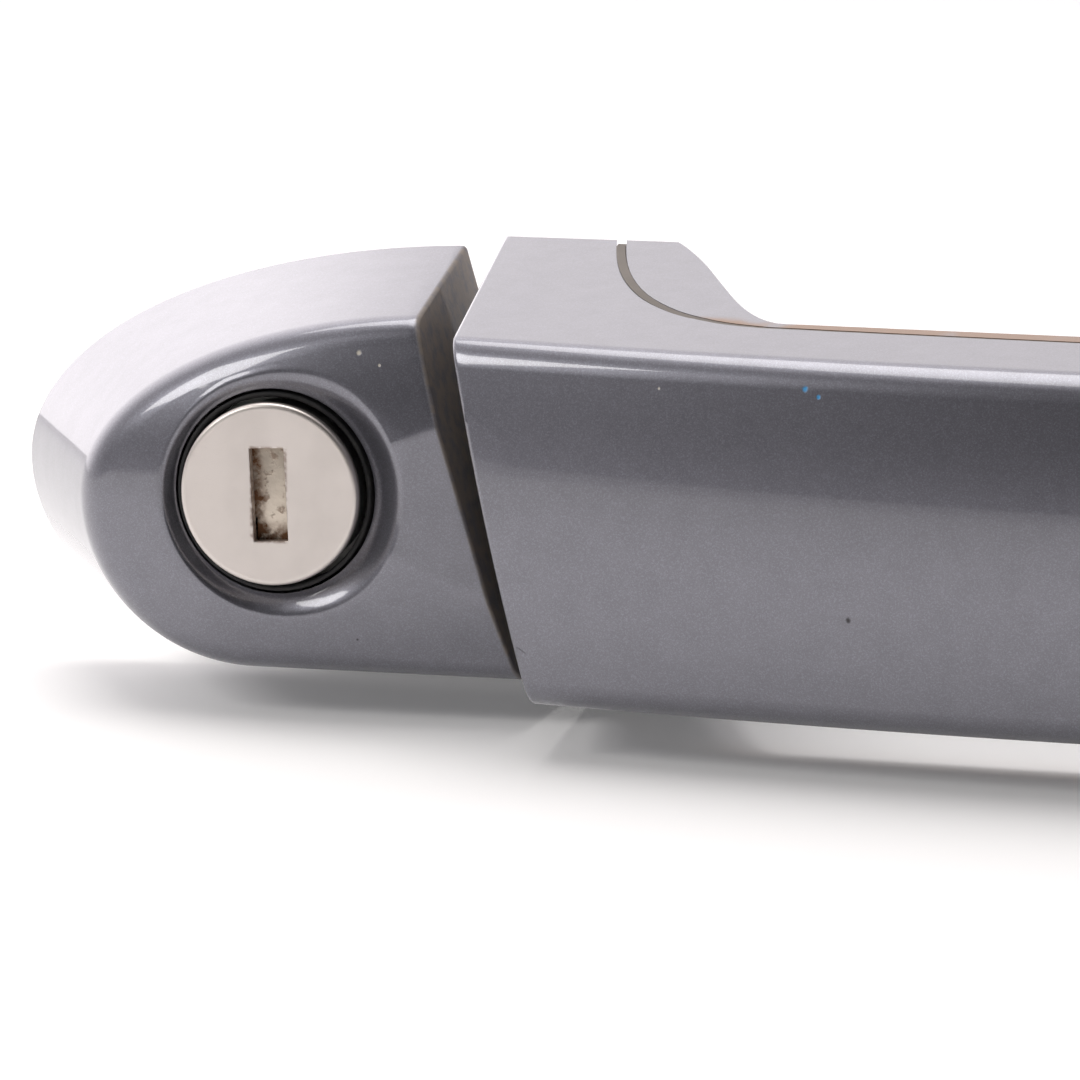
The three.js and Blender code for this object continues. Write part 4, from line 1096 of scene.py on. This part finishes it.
def inside_paint(colours):
    """The inner shell's paint, with a thin brown-orange tint along the grip's upper and lower edges.
    """

    def overlay(r, base, rough, coat, height):
        # A thin brown-orange tint, at half strength, along the grip's upper and lower edges near the
        # front, with rougher paint and less clear coat there
        edge = r.z.size().over(16.0, 16.8) * (-r.y).over(28.5, 30.5)
        edge = edge * r.noise(0.12, 3.0).over(0.3, 0.5)
        base = r.blend(edge * 0.5, base, colours.edge_tint)
        return base, rough + edge * 0.2, coat * (1 - edge * 0.6), height

    return metallic_paint(colours, "graphite_paint_inside", (), overlay)


LIGHT_CHIP = (0.62, 0.58, 0.5)
DARK_PIT = (0.05, 0.045, 0.045)
BLUE_SPECK = (0.06, 0.36, 0.7)
# place x and z, radius, colour and depth of each mark, in millimetres
CAP_MARKS = (
    (-84.3, 14.2, 0.5, LIGHT_CHIP, 0.02),
    (-82.1, 13.1, 0.3, LIGHT_CHIP, 0.02),
    (-113.0, -14.0, 0.3, DARK_PIT, 0.02),
    (-84.5, -14.5, 0.25, DARK_PIT, 0.02),
)
HANDLE_MARKS = (
    (-35.4, 15.2, 0.55, BLUE_SPECK, 0.02),
    (-34.0, 14.5, 0.38, BLUE_SPECK, 0.02),
    (-30.6, -6.4, 0.5, DARK_PIT, 0.04),
    (-50.0, 14.4, 0.25, LIGHT_CHIP, 0.01),
    (30.0, 6.0, 0.35, LIGHT_CHIP, 0.02),
    (62.0, -7.0, 0.4, DARK_PIT, 0.03),
)


def satin_plate(colours, sizes):
    """Satin metal, fine grained, and rusty round the slot."""
    r = Recipe("satin_face_plate", metallic=1.0)
    grain = r.noise(9.0, 2.0)
    cloud = r.noise(0.22, 3.0)
    base = r.blend(cloud.over(0.35, 0.7) * 0.35, colours.plate, shaded(colours.plate, 0.86))
    across, up = (r.x - LOCK_X / MM).size(), r.z.size()
    half_wide, half_high = sizes.slot_width / MM / 2, sizes.slot_height / MM / 2
    near = (across - half_wide).over(0.3, 0.0) * (up - half_high).over(0.3, 0.0)
    stain = near * r.noise(1.6, 2.0, 0.5).over(0.35, 0.6)
    base = r.blend(stain * 0.45, base, colours.rust)
    scratch = r.noise(1.5, 2.0, 0.5, (1, 1, 14)).over(0.66, 0.7)
    scratch = scratch * r.noise(0.4, 1.0).over(0.5, 0.6)
    rough = 0.36 + cloud * 0.08 + stain * 0.3 - scratch * 0.06
    height = grain * 0.004 - scratch * 0.004
    return r.finish(base_color=base, roughness=rough, normal=r.bump(height))


def worn_flap(colours):
    """The dust flap: pale metal scraped by keys, rust at its left edge and its foot."""
    r = Recipe("worn_flap")
    left = (r.x - LOCK_X / MM + r.z * 0.05).over(-0.6, -1.5)
    foot = r.z.over(-2.6, -4.4)
    mottle = r.noise(0.9, 4.0, 0.6)
    edges = (left * 0.8 + foot * 0.9) * mottle.over(0.28, 0.55)
    rust = (edges + mottle.over(0.53, 0.66) * 0.55).clamped()
    base = r.blend(rust, colours.flap, colours.rust)
    rough = 0.3 + rust * 0.45 + mottle * 0.1
    metal = 0.55 - rust * 0.45
    return r.finish(
        base_color=base, roughness=rough, metallic=metal, normal=r.bump(mottle * 0.04 + rust * 0.03)
    )


def moulded(name, shade, rough, grain=0.012, fibre=0.0, lustre=0.45):
    """Moulded plastic: a fine eroded grain, faint flow lines and dust in the texture."""
    r = Recipe(name, specular_ior_level=lustre)
    flow = r.noise(0.16, 3.0, 0.5, (1, 1, 3))
    base = r.blend(flow.over(0.35, 0.7) * 0.5, shade, [min(c * 1.35 + 0.006, 1) for c in shade])
    strand = r.noise(1.4, 2.0, 0.5, (0.25, 1, 4)).over(0.6, 0.75)
    base = r.blend(strand * fibre, base, [min(c * 2.2 + 0.03, 1) for c in shade])
    dust = r.noise(0.9, 4.0, 0.7).over(0.6, 0.75)
    base = r.blend(dust * 0.14, base, (0.32, 0.29, 0.26))
    height = r.noise(3.2, 3.0) * grain + strand * 0.004
    return r.finish(
        base_color=base, roughness=rough + flow * 0.12 + dust * 0.1, normal=r.bump(height)
    )


def rubber(colours):
    """Soft black rubber with a bloom of dust and fine surface pores."""
    r = Recipe("gasket_rubber", specular_ior_level=0.35)
    bloom = r.noise(0.5, 4.0, 0.65).over(0.4, 0.75)
    base = r.blend(bloom * 0.45, colours.rubber, (0.075, 0.07, 0.066))
    pores = r.cells(2.4).over(0.12, 0.3)
    return r.finish(
        base_color=base, roughness=0.62 + bloom * 0.25, normal=r.bump(pores * 0.012 + bloom * 0.006)
    )


def cast_zinc(colours):
    """Die-cast zinc: tumbled skin, dull patches of oxide and small pits."""
    r = Recipe("zinc_casting", metallic=1.0)
    patch = r.noise(0.3, 4.0, 0.6)
    base = r.blend(patch.over(0.4, 0.68), colours.zinc, shaded(colours.zinc, 0.72))
    pits = r.cells(1.7).over(0.16, 0.06)
    base = r.blend(pits * 0.5, base, (0.12, 0.115, 0.11))
    rough = 0.42 + patch * 0.22 + pits * 0.1
    height = r.noise(1.8, 4.0, 0.6) * 0.03 - pits * 0.03
    return r.finish(base_color=base, roughness=rough, normal=r.bump(height))


def worked_metal(name, shade, rough, tint, lines=(1, 1, 12), depth=0.006):
    """Drawn, turned or stamped metal: working lines, a thin uneven plating, grease in places."""
    r = Recipe(name, metallic=1.0)
    plating = r.noise(0.45, 3.0)
    base = r.blend(plating.over(0.35, 0.7) * 0.6, shade, tint)
    line = r.noise(1.6, 3.0, 0.6, lines)
    grease = r.noise(0.8, 4.0, 0.6).over(0.58, 0.75)
    base = r.blend(grease * 0.35, base, shaded(shade, 0.35))
    return r.finish(
        base_color=base,
        roughness=rough + line * 0.14 + grease * 0.12,
        normal=r.bump(line * depth + plating * 0.01),
    )


def table_white():
    """The pale floor, evenly lit."""
    r = Recipe("floor_white", roughness=0.75, specular_ior_level=0.2, emission_strength=0.12)
    r.shader.inputs["Emission Color"].default_value = (1, 0.995, 0.99, 1)
    tone = r.noise(0.01, 2.0)
    return r.finish(base_color=r.blend(tone, (0.93, 0.925, 0.92), (0.955, 0.95, 0.945)))


# ---------------------------------------------------------------- operators


def settings_of(context, name):
    return getattr(context.scene, name)


def place_on(piece, body, material):
    """A modelled piece takes its finish and rides on its body."""
    piece.data.materials.clear()
    piece.data.materials.append(material)
    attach(piece, body)


def stand_for(piece, body, node, material):
    """The same, for a piece that stands for its CAD node."""
    place_on(piece, body, material)
    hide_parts(node)


class OuterShellOperator(bpy.types.Operator):
    """Builds the handle's outer painted shell"""

    bl_idname = "handle.outer_shell"
    bl_label = "Outer shell"

    def execute(self, context):
        shell = outer_shell(settings_of(context, "handle_sizes"), "outer_skin")
        colours = settings_of(context, "finish_colours")
        material = metallic_paint(colours, "graphite_paint_handle", HANDLE_MARKS)
        stand_for(shell, "handle", "handle_outer_shell", material)
        return {"FINISHED"}


class InnerShellOperator(bpy.types.Operator):
    """Builds the painted shell round the finger gap"""

    bl_idname = "handle.inner_shell"
    bl_label = "Inner shell"

    def execute(self, context):
        shell = inner_shell(settings_of(context, "handle_sizes"), "inner_skin")
        colours = settings_of(context, "finish_colours")
        material = inside_paint(colours)
        stand_for(shell, "handle", "handle_inner_shell", material)
        return {"FINISHED"}


class SeamStripOperator(bpy.types.Operator):
    """Builds the dusty strip at the foot of the groove between the two shells"""

    bl_idname = "handle.seam_strip"
    bl_label = "Seam strip"

    def execute(self, context):
        strip = seam_strip(settings_of(context, "handle_sizes"), "seam_strip")
        colours = settings_of(context, "finish_colours")
        pairs = zip(colours.grime, colours.black, strict=True)
        material = moulded("dusty_strip", [mix(a, b, 0.5) for a, b in pairs], 0.7)
        place_on(strip, "handle", material)
        return {"FINISHED"}


class LockCapOperator(bpy.types.Operator):
    """Builds the painted cap round the lock"""

    bl_idname = "handle.lock_cap"
    bl_label = "Lock cap"

    def execute(self, context):
        sizes = settings_of(context, "cap_sizes")
        cap = lock_cap(sizes, "cap_skin")
        material = cap_paint(settings_of(context, "finish_colours"), sizes)
        stand_for(cap, "carrier", "lock_cap", material)
        return {"FINISHED"}


class LockFaceOperator(bpy.types.Operator):
    """Builds the lock's face plate and the seal ring round it"""

    bl_idname = "handle.lock_face"
    bl_label = "Lock face and seal"

    def execute(self, context):
        sizes = settings_of(context, "lock_sizes")
        colours = settings_of(context, "finish_colours")
        plate = face_plate(sizes, "satin_plate")
        stand_for(plate, "plug", "plug_face", satin_plate(colours, sizes))
        ring = seal(sizes, "face_seal")
        stand_for(ring, "carrier", "seal_ring", rubber(colours))
        return {"FINISHED"}


class MechanismOperator(bpy.types.Operator):
    """Gives every carried-over part its rounded edges and its finish"""

    bl_idname = "handle.mechanism"
    bl_label = "Mechanism finishes"

    def execute(self, context):
        colours = settings_of(context, "finish_colours")
        finishes = {
            "glass_filled_plastic": moulded(
                "glass_filled_plastic", colours.black, 0.55, fibre=0.35
            ),
            "natural_plastic": moulded("natural_plastic", colours.ivory, 0.42, 0.006, lustre=0.5),
            "gasket_rubber": rubber(colours),
            "zinc_casting": cast_zinc(colours),
            "steel": worked_metal("plated_steel", colours.steel, 0.3, (0.56, 0.55, 0.47)),
            "spring_steel": worked_metal("spring_steel", colours.spring, 0.35, (0.2, 0.19, 0.19)),
            "brass": worked_metal("stamped_brass", colours.brass, 0.32, (0.5, 0.33, 0.13)),
            "satin_face_plate": worn_flap(colours),
        }
        for name, node in frame["nodes"].items():
            if node.hide_render:
                continue
            node.data.materials.clear()
            node.data.materials.append(finishes[NODE_SLOTS[name]])
            round_edges(node)
        return {"FINISHED"}


def round_edges(node):
    """Modifiers that close a CAD node's loose triangles, round its edges and part its faces."""
    for polygon in node.data.polygons:
        polygon.use_smooth = True
    weld = node.modifiers.new("Weld", "WELD")
    weld.merge_threshold = 0.002 * MM
    bevel = node.modifiers.new("Bevel", "BEVEL")
    bevel.width = 0.12 * MM
    bevel.segments = 2
    bevel.limit_method = "ANGLE"
    bevel.angle_limit = math.radians(40)
    split = node.modifiers.new("EdgeSplit", "EDGE_SPLIT")
    split.split_angle = math.radians(38)


class StageOperator(bpy.types.Operator):
    """Sets the floor, the soft light, the white surroundings and the camera"""

    bl_idname = "handle.stage"
    bl_label = "Stage"

    def execute(self, context):
        stage = settings_of(context, "handle_stage")
        floor = primitive(
            bpy.ops.mesh.primitive_circle_add,
            "floor",
            vertices=96,
            radius=40,
            fill_type="NGON",
            location=(0, 0, cad_box[0].z - 0.05 * MM),
        )
        floor.data.materials.append(table_white())
        surroundings(context.scene, stage)
        softbox(stage, "softbox_above", (-0.2, 0.14, 0.95), 0.6, stage.above)
        softbox(stage, "softbox_aside", (-0.7, -0.54, 0.55), 0.36, stage.aside)
        camera(context.scene, stage)
        return {"FINISHED"}


def surroundings(scene, stage):
    """A white world, brighter behind, with the dark room that the handle's face looks out on."""
    world = bpy.data.worlds.new("surroundings")
    world.use_nodes = True
    scene.world = world
    recipe = Recipe.__new__(Recipe)
    recipe.nodes, recipe.links = world.node_tree.nodes, world.node_tree.links
    background = recipe.nodes["Background"]
    direction = recipe.nodes.new("ShaderNodeTexCoord").outputs["Generated"]
    split = recipe.nodes.new("ShaderNodeSeparateXYZ")
    recipe.links.new(direction, split.inputs[0])
    front, up = -Wire(recipe, split.outputs["Y"]), Wire(recipe, split.outputs["Z"])
    left = -Wire(recipe, split.outputs["X"])
    seen = Wire(recipe, recipe.nodes.new("ShaderNodeLightPath").outputs["Is Camera Ray"])
    dark = front.over(0.1, 0.45) * up.over(0.99, 0.85)
    behind = (-front).over(-0.1, 0.5) * up.over(0.95, 0.7) * (0.6 + left.over(0.2, 0.45))
    room = stage.room + left.over(0.25, 0.8) * 0.12
    strength = stage.sky - dark * (stage.sky - room) + behind * stage.glow
    strength = strength * (1 - seen) + seen * stage.backdrop
    recipe.links.new(strength.socket, background.inputs["Strength"])
    background.inputs["Color"].default_value = (1, 0.955, 0.975, 1)


def softbox(stage, name, place, width, radiance):
    """A square soft light that faces the camera's target."""
    deselect()
    bpy.ops.object.light_add(type="AREA", location=place)
    light = bpy.context.active_object
    light.name = name
    light.data.size = width
    light.data.energy = radiance * math.pi * width * width
    light.data.color = (1, 0.985, 0.965)
    aim = Vector(stage.target) - Vector(place)
    light.rotation_euler = aim.to_track_quat("-Z", "Y").to_euler()


def camera(scene, stage):
    """The camera, turned and raised round its target."""
    turn, height = stage.azimuth, stage.elevation
    back = Vector(
        (math.sin(turn) * math.cos(height), -math.cos(turn) * math.cos(height), math.sin(height))
    )
    deselect()
    bpy.ops.object.camera_add(location=Vector(stage.target) + back * stage.distance)
    made = bpy.context.active_object
    made.rotation_euler = (-back).to_track_quat("-Z", "Y").to_euler()
    made.data.lens = stage.lens
    made.data.sensor_width = 36
    made.data.clip_start = 0.01
    made.data.clip_end = 200
    scene.camera = made
    scene.view_settings.view_transform = "Standard"


class HandlePanel(bpy.types.Panel):
    """Lists the pieces and their sizes"""

    bl_idname = "VIEW3D_PT_door_handle"
    bl_label = "Door handle"
    bl_space_type = "VIEW_3D"
    bl_region_type = "UI"
    bl_category = "Door handle"

    def draw(self, context):
        for operator in OPERATORS:
            self.layout.operator(operator.bl_idname)
        for name, group in SETTINGS.items():
            box = self.layout.box()
            box.label(text=group.__doc__)
            for key in group.__annotations__:
                box.prop(getattr(context.scene, name), key)


OPERATORS = (
    OuterShellOperator,
    InnerShellOperator,
    SeamStripOperator,
    LockCapOperator,
    LockFaceOperator,
    MechanismOperator,
    StageOperator,
)


def register():
    for group in SETTINGS.values():
        bpy.utils.register_class(group)
    for name, group in SETTINGS.items():
        setattr(bpy.types.Scene, name, bpy.props.PointerProperty(type=group))
    for operator in OPERATORS:
        bpy.utils.register_class(operator)
    bpy.utils.register_class(HandlePanel)


def unregister():
    bpy.utils.unregister_class(HandlePanel)
    for operator in reversed(OPERATORS):
        bpy.utils.unregister_class(operator)
    for name, group in SETTINGS.items():
        delattr(bpy.types.Scene, name)
        bpy.utils.unregister_class(group)


def main():
    register()
    bpy.ops.handle.outer_shell()
    bpy.ops.handle.inner_shell()
    bpy.ops.handle.seam_strip()
    bpy.ops.handle.lock_cap()
    bpy.ops.handle.lock_face()
    bpy.ops.handle.mechanism()
    bpy.ops.handle.stage()


if __name__ == "__main__":
    main()
